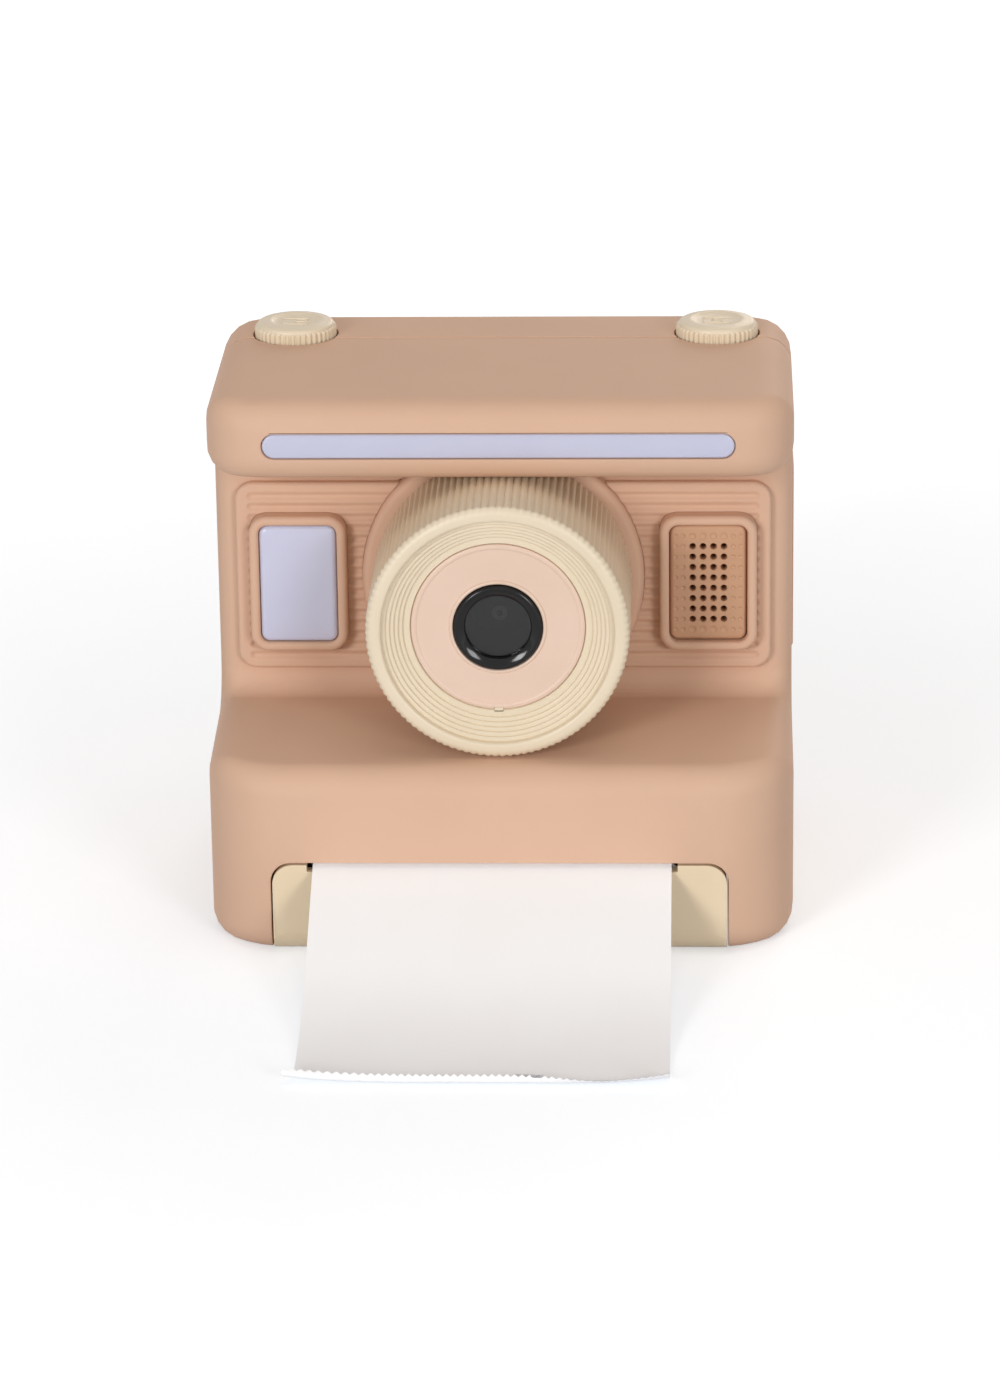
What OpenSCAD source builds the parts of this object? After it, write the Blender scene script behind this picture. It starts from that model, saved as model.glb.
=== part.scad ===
// Child's instant-print camera: a hooded two-part casing with a turning lens barrel, push
// buttons, and a small thermal printer behind a door that swings down from the base.
// The front faces -Y, +X is to the viewer's right and the base rests on Z = 0.

/* [Casing] */
// Width of the casing
body_w = 92; // [90:0.5:100]
// Depth of the casing from the base front to the back
body_d = 71; // [70.5:0.5:78]
// Height of the casing
body_h = 84.5; // [84:0.5:92]
// Wall of the two mouldings
wall = 2; // [1.6:0.1:2.4]
// Distance of the hood front behind the base front
hood_setback = 17.5; // [16:0.5:19]
// Distance of the recessed face behind the base front
face_setback = 35; // [34:0.5:36]
// Distance of the seam between the mouldings behind the base front
seam_setback = 55; // [54:0.5:56]
// Height of the hood from its underside to the top
hood_h = 12.7; // [12.5:0.1:13]
// Height of the shelf at its front edge
shelf_h = 30.3; // [29.5:0.1:31]
// Rise of the shelf from its front edge to the face
shelf_rise = 1.2; // [0.8:0.1:1.6]
// Corner radius of the base, seen from above
base_corner = 13; // [11:0.5:13.5]
// Corner radius of the hood, seen from above
hood_corner = 9; // [7:0.5:10]
// Corner radius of the recessed face, seen from above
face_corner = 4; // [3.5:0.1:4.5]
// Corner radius of the back, seen from above
back_corner = 10; // [8:0.5:11]
// Radius of the top edges
top_edge = 4.5; // [3.5:0.1:5]
// Radius of the shelf edges at the front
shelf_edge = 4.5; // [3.5:0.1:5]
// Radius of the shelf edges where they meet the face
shelf_edge_back = 3; // [2.6:0.1:3.4]
// Radius of the lower hood edges
hood_edge = 4; // [3.5:0.1:4.5]
// Radius of the base edges
base_edge = 3.8; // [3.4:0.1:4.2]
// Height at which the hollow above the shelf runs into the face
sweep_top = 35.4; // [35:0.1:35.5]

/* [Face] */
// Height of the lens axis
lens_z = 51.2; // [51.1:0.1:51.4]
// Width of the ribbed panel
panel_w = 85.2; // [83:0.2:85.6]
// Height of the ribbed panel
panel_h = 31.2; // [30:0.1:31.2]
// Thickness of the ribbed panel
panel_t = 1.4; // [1.3:0.1:1.8]
// Corner radius of the ribbed panel
panel_corner = 3; // [2.5:0.25:4]
// Spacing of the grooves in the panel
rib_pitch = 1.78; // [1.6:0.02:2.2]
// Depth of the grooves in the panel
rib_depth = 0.4; // [0.3:0.05:0.6]
// Distance of the flash and speaker frames from the middle
frame_x = 32.6; // [32:0.1:33]
// Height of the middle of the flash and speaker frames
frame_z = 50.6; // [50.2:0.1:51.4]
// Width of the flash and speaker frames
frame_w = 15.5; // [15:0.1:16]
// Height of the flash and speaker frames
frame_h = 22.6; // [22:0.2:23.4]
// How far the frames stand in front of the face
frame_t = 4; // [3.4:0.1:4.4]
// Rim of the frames round their windows
frame_rim = 1.55; // [1.4:0.05:1.8]
// Spacing of the speaker holes across the plate
hole_pitch = 1.65; // [1.5:0.05:1.75]
// Spacing of the speaker holes up the plate
hole_rise = 1.74; // [1.6:0.02:1.8]
// Diameter of the speaker holes
hole_d = 0.95; // [0.7:0.05:1.1]

/* [Light strip] */
// Length of the light strip
light_w = 73.5; // [70:0.5:74]
// Height of the light strip
light_h = 4; // [3.6:0.1:4.4]

/* [Lens] */
// Diameter of the collar on the face
flange_d = 45; // [44:0.25:46]
// How far the collar stands in front of the face
flange_t = 3; // [2.4:0.1:3.4]
// Width of the collar outside the ribs of the barrel
flange_rim = 2; // [1.9:0.05:2.4]
// How far the lens front lies behind the base front
lens_inset = 5.5; // [4:0.25:7]
// Number of ribs round the barrel
barrel_ribs = 110; // [80:1:120]
// Width of the front rim, from the ribs to the mouth
rim_w = 2.4; // [2.2:0.1:3]
// Width of the stepped funnel, from the mouth to the disc
funnel_w = 4.5; // [3.8:0.1:5]
// Depth of the disc behind the front rim
disc_depth = 4.2; // [3.6:0.1:4.8]
// Diameter of the black ring round the window
bezel_d = 14; // [13.6:0.1:14.4]

/* [Buttons] */
// Diameter of the top buttons
button_d = 13.2; // [13:0.1:13.6]
// Distance of the top buttons from the middle
button_x = 34; // [33:0.1:34.4]
// Distance of the top buttons behind the seam
button_back = 2.8; // [0:0.1:3.2]
// How far the top buttons stand above the casing
button_proud = 2.3; // [2:0.1:2.8]
// Number of ribs round a top button
button_ribs = 44; // [30:1:52]
// Diameter of the rear buttons
key_d = 8; // [7:0.1:9]
// Spacing of the rear buttons
key_pitch = 15; // [14:0.25:15.5]
// Height of the row of rear buttons
key_z = 20; // [19:0.5:21]

/* [Printer] */
// Width of the paper door's opening
door_w = 71.5; // [71:0.25:73]
// Height of the paper door's opening
door_h = 15.2; // [14.8:0.1:15.6]
// Radius of the door's upper corners
door_corner = 3.3; // [2.5:0.1:4]
// Width of the paper
paper_w = 56; // [54:0.5:57]
// Radius of the paper roll
roll_r = 12.5; // [11:0.1:12.8]
// Slope of the paper where it leaves the slot, in degrees
feed_angle = 24; // [23:0.25:25]
// Radius of the platen roller
platen_r = 4.6; // [4.3:0.05:4.8]
// Length of the paper lying flat on the table
paper_flat = 12; // [4:0.5:20]
// Sideways stand of the paper in its slot
paper_shift = -1.1; // [-1.4:0.1:1.4]

/* [Screen] */
// Width of the screen window
window_w = 54; // [52:0.5:56]
// Height of the screen window
window_h = 40; // [38:0.5:41]

/* [Hidden] */
// Clearance of a running fit, and of pieces that never meet
fit = 0.05;
gap = 0.3;
// Overrun of every cut
over = 1;
// Facets of round pieces and steps of a rounded corner in the casing
$fn = 64;
corner_steps = 5;
side_steps = 8;
// Least share of an edge radius that is left where the casing turns into its sides
edge_least_share = 0.15;
// Width and depth of the shadow line between the two shells
seam_w = 0.35;
seam_depth = 0.5;

half_w = body_w / 2;
base_y = -body_d / 2;
back_y = body_d / 2;
hood_y = base_y + hood_setback;
face_y = base_y + face_setback;
seam_y = base_y + seam_setback;
button_y = seam_y + button_back;
under_z = body_h - hood_h;
face_in = face_y + wall;
back_in = back_y - wall;
side_in = half_w - wall;
top_in = body_h - wall;
under_edge = wall;
hood_in = hood_y + wall;

// Boards and fasteners
board_t = 1.2;
screw_r = 1.1;
screw_head_r = 2.1;
screw_head_t = 1.6;
boss_r = 3;
boss_len = 13;
boss_x = side_in - 1.5 * boss_r;
web_w = 1.6;
boss_low_z = 12;
boss_high_z = 64;
screw_seat = 5;
post_r = 2.2;
post_x = 24;
post_rise = 15;
post_len = 8;

// Frames, windows and grille
frame_corner = 3;
frame_round = 0.75;
panel_round = 0.65;
frame_mouth_w = frame_w - 2 * frame_rim;
frame_mouth_h = frame_h - 2 * frame_rim;
window_inset = 0.25;
grille_inset = 1;
window_corner = frame_corner - frame_rim;
window_round = 0.6;
light_hole_share = 0.78;
hole_rows = 8;
dimple_rows = 10;
// Columns of the plate either side of its middle, as shares of the hole spacing
column_shares = [0.5, 1.5, 2.4, 3.2];
open_columns = 2;
dimple_share = 0.7;
dimple_depth = 0.25;
grille_t = 1.2;
groove_margin = 1.7;

// Light strip
light_lip = 1.2;
light_lip_t = 1;
light_lip_back = 0.7;
light_lip_y = hood_in + light_lip_back;
light_sink = 0.3;
light_drop = 6.8;
light_z = body_h - light_drop;
light_board_h = 6;
led_w = 2;
led_t = 0.8;
led_pitch = 8;
led_count = 9;

// Lens
lens_y = base_y + lens_inset;
flange_y = face_y - flange_t;
barrel_back = flange_y - gap;
flange_round = 1.2;
rib_h = 0.4;
rib_sink = 0.2;
rim_round = 1.4;
barrel_d = flange_d - 2 * flange_rim;
barrel_r = barrel_d / 2 - rib_h;
barrel_room = 0.35;
barrel_wall = 2.1;
spigot_step = 1.1;
spigot_r = barrel_r - spigot_step;
spigot_wall = 1.4;
collar_wall = 1.5;
collar_r = spigot_r + collar_wall;
retainer_r = collar_r - gap;
retainer_t = 1.2;
disc_t = 0.8;
disc_edge = 0.35;
disc_edge_w = 0.7;
web_t = 1.4;
mouth_d = barrel_d - 2 * rim_w;
disc_d = mouth_d - 2 * funnel_w;
funnel_steps = 5;
disc_y = lens_y + disc_depth;
bezel_r = bezel_d / 2;
bezel_wall = 1.4;
bezel_proud = 1.5;
bezel_lap = 1.6;
bezel_skirt = 0.45;
bezel_lip = 0.9;
tube_r = bezel_r - bezel_skirt;
tube_wall = 1;
tube_front = disc_y - bezel_proud + bezel_wall + bezel_lip;
eye_t = 1;
cup_in_r = collar_r + 2 * fit;
cup_wall = 0.8;
cup_r = cup_in_r + cup_wall;
cup_y = face_in + retainer_t + 2 * gap;
cup_t = 1.6;
camera_w = 7.4;
camera_depth = 4;
camera_eye_r = 2.8;
camera_eye_len = 3;
camera_sink = 12.5;
camera_back = tube_front + camera_sink;

// Top buttons
button_r = button_d / 2;
button_wear = 0.9;
button_dish = 0.5;
button_dish_share = 0.62;
knurl_h = 0.35;
button_flange = 1.2;
button_flange_t = 1.6;
button_stem_r = 1.8;
button_stem_len = 3;
button_travel = 1.2;
switch_w = 6;
switch_h = 2;
switch_pin_r = 1.5;
switch_pin_h = 1.5;
strip_d = 9;
flange_top = top_in - gap;
stem_low = flange_top - button_flange_t - button_stem_len;
strip_z = stem_low - button_travel - gap - switch_pin_h - switch_h - board_t;
shelf_rib_w = 4;
shelf_rib_t = 1.6;

// Rear buttons
key_count = 5;
key_proud = 1.2;
key_flange = 1;
key_flange_t = 1.4;
key_stem_r = 1.5;
key_stem_len = 1.5;
key_travel = 0.8;
key_dish = 0.3;
key_dish_r = 6;
key_board_w = 72;
key_board_h = 11;
key_seat_y = back_in - gap - key_flange_t - key_stem_len - key_travel - gap;
key_board_y = key_seat_y - switch_pin_h - switch_h - board_t;

// Boards, battery, screen and socket
main_y = face_in + post_len;
main_w = 72;
main_h = 36;
main_t = 1.6;
tab_h = 13;
battery_w = 50;
battery_h = 30;
battery_t = 5.5;
battery_edge = 2.5;
chip_w = 12;
chip_t = 1;
screen_w = 58;
screen_h = 44;
screen_t = 3;
screen_z = 57;
screen_rim = 2;
screen_corner = 3;
window_t = 1.2;
speaker_w = 14;
speaker_h = 20;
speaker_t = 4.5;
cone_r = 5.5;
cone_depth = 1.2;
flash_chip = 5;
flash_chip_t = 1.3;
socket_w = 9;
socket_h = 3.3;
socket_len = 7.4;
socket_wall = 0.5;
socket_hole = 0.3;
cover_w = 11;
cover_h = 30;
cover_t = 0.9;
cover_proud = 0.25;
cover_gap = 0.2;
cover_corner = 2;
cover_z = lens_z;
cover_low_z = cover_z - cover_h / 2;
cover_round = (cover_t - fit + cover_proud) / 2;
port_y = main_y + main_t + socket_h / 2;
socket_z = lens_z - 4;

// Paper door, hinge and printer
door_gap = 0.25;
pin_r = 1;
knuckle_r = 2.2;
hinge_setback = 50.5;
hinge_y = base_y + hinge_setback;
hinge_z = knuckle_r + gap;
knuckle_len = 10;
paper_t = 0.25;
exit_drop = 0.8;
exit_z = door_h - exit_drop;
exit_room = 0.55;
notch_play = 0.95;
notch_w = paper_w + 2 * notch_play;
notch_depth = 1.1;
roll_y = -3;
core_r = 6.2;
core_wall = 1;
table_clear = 0.3;
table_bend_r = 12;
curl_r = 20;
curl_angle = 16;
bend_steps = 6;
tear_pitch = 2;
tear_depth = 0.7;
tear_t = 0.4;
tear_h = 5;
nip_back = 8;
shaft_r = 1.5;
platen_len = paper_w + 2 * gap;
ear_t = 1.2;
ear_in = platen_len / 2 + gap;
ear_out = ear_in + ear_t;
plate_in = ear_out + gap;
plate_t = 1.6;
plate_out = plate_in + plate_t;
gear_in = plate_out + gap;
gear_w = 2.6;
gear_out = gear_in + gear_w;
motor_gap = 1.6;
motor_in = gear_out + motor_gap;
motor_r = 7.5;
motor_len = 6.2;
motor_shaft_r = 0.75;
standoff_r = 1.2;
standoff_turn = 60;
head_t = 2;
head_len = 10;
head_front = 4;
head_strip_w = 2.4;
head_strip_t = 0.3;
spring_t = 0.4;
spring_w = 36;
frame_top_t = 1.5;
frame_top_in = 1;
frame_low_z = 6;
frame_rear_t = 1.6;
nose_room = 2;

// Gear teeth: size, tooth counts and slack at the pitch circle
gear_module = 0.6;
platen_teeth = 14;
idler_teeth = 14;
pinion_teeth = 10;
tooth_top_share = 0.75;
tooth_root_share = 1.15;
tooth_slack = 0.07;
centre_slack = 0.1;
pressure_angle = 20;
flank_steps = 4;

nip_y = base_y + nip_back;
nip_z = exit_z + nip_back * tan(feed_angle);
platen_y = nip_y + (platen_r + gap) * sin(feed_angle);
platen_z = nip_z - (platen_r + gap) * cos(feed_angle);
roll_z = exit_z + (roll_y - base_y) * tan(feed_angle) - (roll_r + gap) / cos(feed_angle);
// Directions from the platen to the idler and from the idler to the pinion
idler_dir = 79;
pinion_dir = -35;
idler_reach = gear_module * (platen_teeth + idler_teeth) / 2 + centre_slack;
pinion_reach = gear_module * (idler_teeth + pinion_teeth) / 2 + centre_slack;
idler_y = platen_y + idler_reach * cos(idler_dir);
idler_z = platen_z + idler_reach * sin(idler_dir);
motor_y = idler_y + pinion_reach * cos(pinion_dir);
motor_z = idler_z + pinion_reach * sin(pinion_dir);
idler_turn = idler_dir + 180 + 180 / idler_teeth;
pinion_turn = pinion_dir + 180 - (idler_turn - pinion_dir) * idler_teeth / pinion_teeth
    + 180 / pinion_teeth;

peach = "#d8af93";
cream = "#e6d9bc";
lilac = "#c5c4da";
blush = "#e3c8b5";
black = "#1e1e20";
steel = "#b9bcc0";
green = "#2f6b4a";
white = "#f0efec";

// Plain helpers
module slab_y(from, to) translate([0, to, 0]) rotate([90, 0, 0]) linear_extrude(to - from) children();
module slab_x(from, to) translate([from, 0, 0]) rotate([90, 0, 90]) linear_extrude(to - from) children();
module rod_x(from, to, r) translate([from, 0, 0]) rotate([0, 90, 0]) cylinder(h = to - from, r = r);
module rod_y(from, to, r) translate([0, from, 0]) rotate([-90, 0, 0]) cylinder(h = to - from, r = r);
module box(low, high) translate(low) cube(high - low);
module both() { children(); mirror([1, 0, 0]) children(); }
module lens_turn() translate([0, 0, lens_z]) rotate([-90, 0, 0]) rotate_extrude() children();

module rounded(w, h, r) {
    if (w > 2 * r) square([w - 2 * r, h], center = true);
    if (h > 2 * r) square([w, h - 2 * r], center = true);
    for (x = [-1, 1], y = [-1, 1]) translate([x * (w / 2 - r), y * (h / 2 - r)]) circle(r);
}

// Plate facing -Y with a rounded outline and a rounded front edge
module soft_plate(w, h, corner, front, back, edge) {
    slab_y(front + edge, back) rounded(w, h, corner);
    slab_y(front, back) rounded(w - 2 * edge, h - 2 * edge, corner - edge);
    for (x = [-1, 1]) translate([x * (w / 2 - edge), front + edge, corner - h / 2])
        cylinder(h = h - 2 * corner, r = edge);
    for (z = [-1, 1]) translate([0, front + edge, z * (h / 2 - edge)])
        rod_x(corner - w / 2, w / 2 - corner, edge);
    for (x = [-1, 1], z = [-1, 1]) translate([x * (w / 2 - corner), front + edge, z * (h / 2 - corner)])
        rotate([-90, 0, 0]) rotate_extrude() translate([corner - edge, 0]) circle(edge);
}

// Ring of ribs between two radii: ribs are as wide as the spaces between them
module rib_star(low, high, count) {
    step = 360 / count;
    spots = [[0.0, low], [0.3, high], [0.6, high], [0.9, low]];
    polygon([for (i = [0:count - 1], s = spots) s[1] * [cos((i + s[0]) * step), sin((i + s[0]) * step)]]);
}

// Involute gear outline with a tooth on the +X axis
function involute(a) = tan(a) * 180 / PI - a;
function flank_angle(r, base, half) = half - involute(acos(min(1, base / r)));
function gear_points(teeth) =
    let (pitch = gear_module * teeth / 2, base = pitch * cos(pressure_angle))
    let (tip = pitch + gear_module * tooth_top_share, root = pitch - gear_module * tooth_root_share)
    let (half = 90 / teeth - tooth_slack / pitch * 180 / PI + involute(pressure_angle))
    let (foot = max(base, root))
    let (radii = [for (i = [0:flank_steps]) foot + (tip - foot) * i / flank_steps])
    let (up = [for (r = radii) [r, -flank_angle(r, base, half)]])
    let (down = [for (i = [flank_steps:-1:0]) [radii[i], flank_angle(radii[i], base, half)]])
    let (tooth = concat([[root, up[0][1]]], up, down, [[root, -up[0][1]]]))
    [for (i = [0:teeth - 1], p = tooth) p[0] * [cos(p[1] + i * 360 / teeth), sin(p[1] + i * 360 / teeth)]];

module gear_at(y, z, teeth, turn, bore) slab_x(gear_in, gear_out) translate([y, z]) difference() {
    rotate(turn) polygon(gear_points(teeth));
    circle(bore);
}

// Casing form: rounded side profiles lofted from side to side, sunk by t for the inner face
function unit(v) = v / norm(v);
function recess(a, half, r) =
    let (k = max(0, a - half + r))
    r - sqrt(max(0, r * r - k * k));
function corner_arc(p, c, n, r) =
    let (u = unit(p - c), v = unit(n - c), half = acos(u * v) / 2)
    let (m = c + unit(u + v) * r / sin(half), s = c + u * r / tan(half) - m, e = c + v * r / tan(half) - m)
    let (from = atan2(s[1], s[0]), sweep = atan2(cross(s, e), s * e))
    [for (i = [0:corner_steps]) let (t = from + sweep * i / corner_steps) m + r * [cos(t), sin(t)]];
function casing_corners(a, t) =
    let (half = half_w - t)
    let (base = base_y + t + recess(a, half, base_corner - t))
    let (hood = hood_y + t + recess(a, half, hood_corner - t))
    let (face = face_y + t + recess(a, half, face_corner - t))
    let (back = back_y - t - recess(a, half, back_corner - t))
    let (top_fall = recess(a, half, top_edge - t), base_fall = recess(a, half, base_edge - t))
    let (shelf_fall = recess(a, half, shelf_edge - t), hood_fall = recess(a, half, hood_edge - t))
    let (top = body_h - t - top_fall, low = t + base_fall)
    let (shelf = shelf_h - t - shelf_fall, under = under_z + t + hood_fall)
    let (sweep = shelf_h - t + shelf_rise - recess(a, half, shelf_edge_back - t))
    let (sweep_r = (sweep_top - sweep) * tan(45 + atan((sweep - shelf) / (face - base)) / 2))
    let (base_r = max(edge_least_share * base_edge, base_edge - t - base_fall))
    let (top_r = max(edge_least_share * top_edge, top_edge - t - top_fall))
    let (shelf_r = max(edge_least_share * shelf_edge, shelf_edge - t - shelf_fall))
    let (hood_r = max(edge_least_share * hood_edge, hood_edge - t - hood_fall))
    [[back, low, base_r], [base, low, base_r], [base, shelf, shelf_r],
     [face, sweep, sweep_r], [face, under, under_edge], [hood, under, hood_r],
     [hood, top, top_r], [back, top, top_r]];
function casing_profile(a, t) =
    let (c = casing_corners(a, t), n = len(c), flat = [for (p = c) [p[0], p[1]]])
    [for (i = [0:n - 1]) each corner_arc(flat[(i + n - 1) % n], flat[i], flat[(i + 1) % n], c[i][2])];
function casing_stations(t) =
    let (r = base_corner - t, flat = half_w - base_corner)
    let (right = [for (i = [0:side_steps]) flat + r * sin(90 * i / side_steps)])
    concat([for (i = [side_steps:-1:0]) -right[i]], right);

module casing(t) {
    stations = casing_stations(t);
    count = len(casing_profile(0, t));
    last = len(stations) - 1;
    points = [for (x = stations, p = casing_profile(abs(x), t)) [x, p[0], p[1]]];
    // Each flat end is two fans that meet on a line from the top of the sweep to the foot of the back
    bend = count / 2 - 1;
    low_fan = [for (j = [1:bend - 1]) [0, j, j + 1]];
    high_fan = [for (j = [bend:count - 3]) [count - 1, j, j + 1]];
    fans = concat(low_fan, high_fan, [[count - 1, 0, bend]]);
    ends = [for (f = fans) each [[f[2], f[1], f[0]], [for (j = f) last * count + j]]];
    sides = [for (i = [0:last - 1], j = [0:count - 1])
        let (k = (j + 1) % count, a = i * count, b = a + count)
        each [[b + k, b + j, a + j], [b + k, a + j, a + k]]];
    polyhedron(points, concat(ends, sides));
}

module front_side() box([-body_w, base_y - over, -over], [body_w, seam_y, body_h + over]);
module rear_side() box([-body_w, seam_y, -over], [body_w, back_y + over, body_h + over]);
// Shadow line round the seam, cut into the front edge of the rear shell
module seam_line() difference() {
    box([-body_w, seam_y - over, -body_h], [body_w, seam_y + seam_w, 2 * body_h]);
    casing(seam_depth);
}

// Places shared by several pieces
module at_bosses() for (x = [-boss_x, boss_x], z = [boss_low_z, boss_high_z])
    translate([x, 0, z]) children();
module at_posts() for (x = [-post_x, post_x], z = [-post_rise, post_rise])
    translate([x, 0, lens_z + z]) children();
module at_frame(side) translate([side * frame_x, 0, frame_z]) children();
module at_button(side) translate([side * button_x, button_y, 0]) children();
module at_key(i) translate([(i - (key_count - 1) / 2) * key_pitch, 0, key_z]) children();
// Outline with round upper corners that runs on below its foot
module door_outline(w, h, r, below = over) {
    translate([-w / 2, -below]) square([w, h - r + below]);
    translate([r - w / 2, -below]) square([w - 2 * r, h + below]);
    for (x = [-1, 1]) translate([x * (w / 2 - r), h - r]) circle(r);
}
// Slanted way of the paper through the front wall, in the side view
module paper_way(room) {
    rise = (wall + over) * tan(feed_angle);
    fall = over * tan(feed_angle);
    polygon([[base_y - over, exit_z - fall - room], [base_y + wall + over, exit_z + rise - room],
        [base_y + wall + over, exit_z + rise + room], [base_y - over, exit_z - fall + room]]);
}

module front_shell() color(peach) difference() {
    union() {
        difference() {
            intersection() { casing(0); front_side(); }
            casing(wall);
        }
        at_bosses() rod_y(seam_y - boss_len, seam_y, boss_r);
        both() for (z = [boss_low_z, boss_high_z]) box([boss_x, seam_y - boss_len, z - web_w / 2],
            [side_in + wall / 2, seam_y, z + web_w / 2]);
        at_posts() rod_y(face_y + wall / 2, main_y, post_r);
        both() box([side_in - shelf_rib_w, button_y - strip_d / 2, strip_z - shelf_rib_t],
            [side_in + wall / 2, seam_y, strip_z]);
    }
    at_bosses() rod_y(seam_y - boss_len + wall, seam_y + over, screw_r + fit);
    slab_y(hood_y - over, hood_in + over) translate([0, light_z])
        rounded(light_w + 2 * fit, light_h + 2 * fit, light_h / 2);
    translate([0, 0, lens_z]) {
        rod_y(face_y - shelf_edge_back - over, face_in + over, collar_r + fit);
        rod_y(base_y - over, face_y, barrel_d / 2 + barrel_room);
    }
    for (side = [-1, 1]) {
        at_frame(side) slab_y(face_y - over, face_in + over)
            rounded(frame_mouth_w * light_hole_share, frame_mouth_h * light_hole_share, window_corner);
        at_button(side) translate([0, 0, under_z]) cylinder(h = body_h, r = button_r + gap);
    }
    slab_y(base_y - over, base_y + wall + over) door_outline(door_w, door_h, door_corner);
    box([-door_w / 2, base_y - over, -over], [door_w / 2, hinge_y + hinge_z + gap, wall + over]);
    slab_x(paper_shift - notch_w / 2, paper_shift + notch_w / 2) paper_way(exit_room + paper_t);
    translate([0, port_y, socket_z]) slab_x(side_in - over, half_w + over)
        rounded(socket_h + 2 * socket_hole, socket_w + 2 * socket_hole, socket_h / 2);
    translate([0, port_y, cover_low_z - cover_gap]) slab_x(half_w - cover_t, half_w + over)
        door_outline(cover_w + 2 * cover_gap, cover_h + 2 * cover_gap, cover_corner + cover_gap, 0);
}

module rear_shell() color(peach) difference() {
    union() {
        difference() {
            intersection() { casing(0); rear_side(); }
            casing(wall);
        }
        at_bosses() rod_y(seam_y, back_in + wall / 2, boss_r);
        for (i = [0, key_count - 2]) at_key(i) translate([key_pitch / 2, 0, 0])
            rod_y(key_board_y + board_t, back_in + wall / 2, post_r);
        both() box([side_in - shelf_rib_w, seam_y, strip_z - shelf_rib_t],
            [side_in + wall / 2, button_y + strip_d / 2, strip_z]);
    }
    seam_line();
    at_bosses() {
        rod_y(seam_y - over, back_y + over, screw_r + fit);
        rod_y(seam_y + screw_seat, back_y + over, screw_head_r + gap);
    }
    for (side = [-1, 1])
        at_button(side) translate([0, 0, under_z]) cylinder(h = body_h, r = button_r + gap);
    for (i = [0:key_count - 1]) at_key(i) rod_y(back_in - over, back_y + over, key_d / 2 + gap);
    translate([0, 0, screen_z]) {
        slab_y(back_y - window_t, back_y + over)
            rounded(window_w + 2 * fit, window_h + 2 * fit, screen_corner);
        slab_y(back_in - over, back_y)
            rounded(window_w - 2 * screen_rim, window_h - 2 * screen_rim, screen_rim);
    }
}

module shell_screws() color(steel) at_bosses() {
    rod_y(seam_y + screw_seat, seam_y + screw_seat + screw_head_t, screw_head_r);
    rod_y(seam_y - boss_len + wall + over, seam_y + screw_seat, screw_r);
}

// Ribbed plate beside the lens collar, on the left (-1) or the right (1)
module ribbed_panel(side) color(peach) translate([0, 0, lens_z]) intersection() {
    box([side < 0 ? -panel_w : 0, face_y - panel_t - over, -panel_h],
        [side < 0 ? 0 : panel_w, face_y + over, panel_h]);
    ribbed_plate();
}
module left_panel() ribbed_panel(-1);
module right_panel() ribbed_panel(1);
module ribbed_plate() difference() {
    soft_plate(panel_w, panel_h, panel_corner, face_y - panel_t, face_y, panel_round);
    last = floor((panel_h / 2 - groove_margin) / rib_pitch - 0.5);
    groove_x = panel_w / 2 - groove_margin - rib_pitch / 2;
    groove_y = face_y - panel_t - rib_pitch / 2 + rib_depth;
    for (i = [-last - 1:last]) translate([0, groove_y, (i + 0.5) * rib_pitch]) {
        rod_x(-groove_x, groove_x, rib_pitch / 2);
        both() translate([groove_x, 0, 0]) sphere(rib_pitch / 2);
    }
    rod_y(face_y - panel_t - over, face_y + over, flange_d / 2 + fit);
    for (side = [-1, 1]) translate([side * frame_x, 0, frame_z - lens_z])
        slab_y(face_y - panel_t - over, face_y + over)
        rounded(frame_w + 2 * fit, frame_h + 2 * fit, frame_corner);
}

module light_strip() color(lilac) translate([0, 0, light_z]) {
    slab_y(hood_y + light_sink, light_lip_y + light_lip_t) rounded(light_w, light_h, light_h / 2);
    slab_y(light_lip_y, light_lip_y + light_lip_t)
        rounded(light_w + 2 * light_lip, light_h + 2 * light_lip, light_h / 2 + light_lip);
}

module light_board() color(green) translate([0, light_lip_y + light_lip_t, light_z]) {
    box([-light_w / 2, led_t, -light_board_h / 2], [light_w / 2, led_t + board_t, light_board_h / 2]);
    for (i = [0:led_count - 1]) translate([(i - (led_count - 1) / 2) * led_pitch, 0, 0])
        box([-led_w / 2, 0, -led_w / 2], [led_w / 2, led_t, led_w / 2]);
}

// Raised frame with a softened outer edge and a straight mouth, and the plate that fills it
module window_frame() difference() {
    soft_plate(frame_w, frame_h, frame_corner, face_y - frame_t, face_y, frame_round);
    slab_y(face_y - frame_t - over, face_y + over) rounded(frame_mouth_w, frame_mouth_h, window_corner);
}
module mouth_plate(inset) soft_plate(frame_mouth_w - 2 * fit, frame_mouth_h - 2 * fit, window_corner - fit,
    face_y - frame_t + inset, face_y, window_round);

module flash_bezel() color(peach) at_frame(-1) window_frame();
module flash_window() color(lilac) at_frame(-1) mouth_plate(window_inset);
module flash_board() color(green) at_frame(-1) {
    slab_y(face_in, face_in + board_t) rounded(speaker_w, speaker_h, window_corner);
    box([-flash_chip / 2, face_in - flash_chip_t, -flash_chip / 2],
        [flash_chip / 2, face_in, flash_chip / 2]);
}

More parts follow.
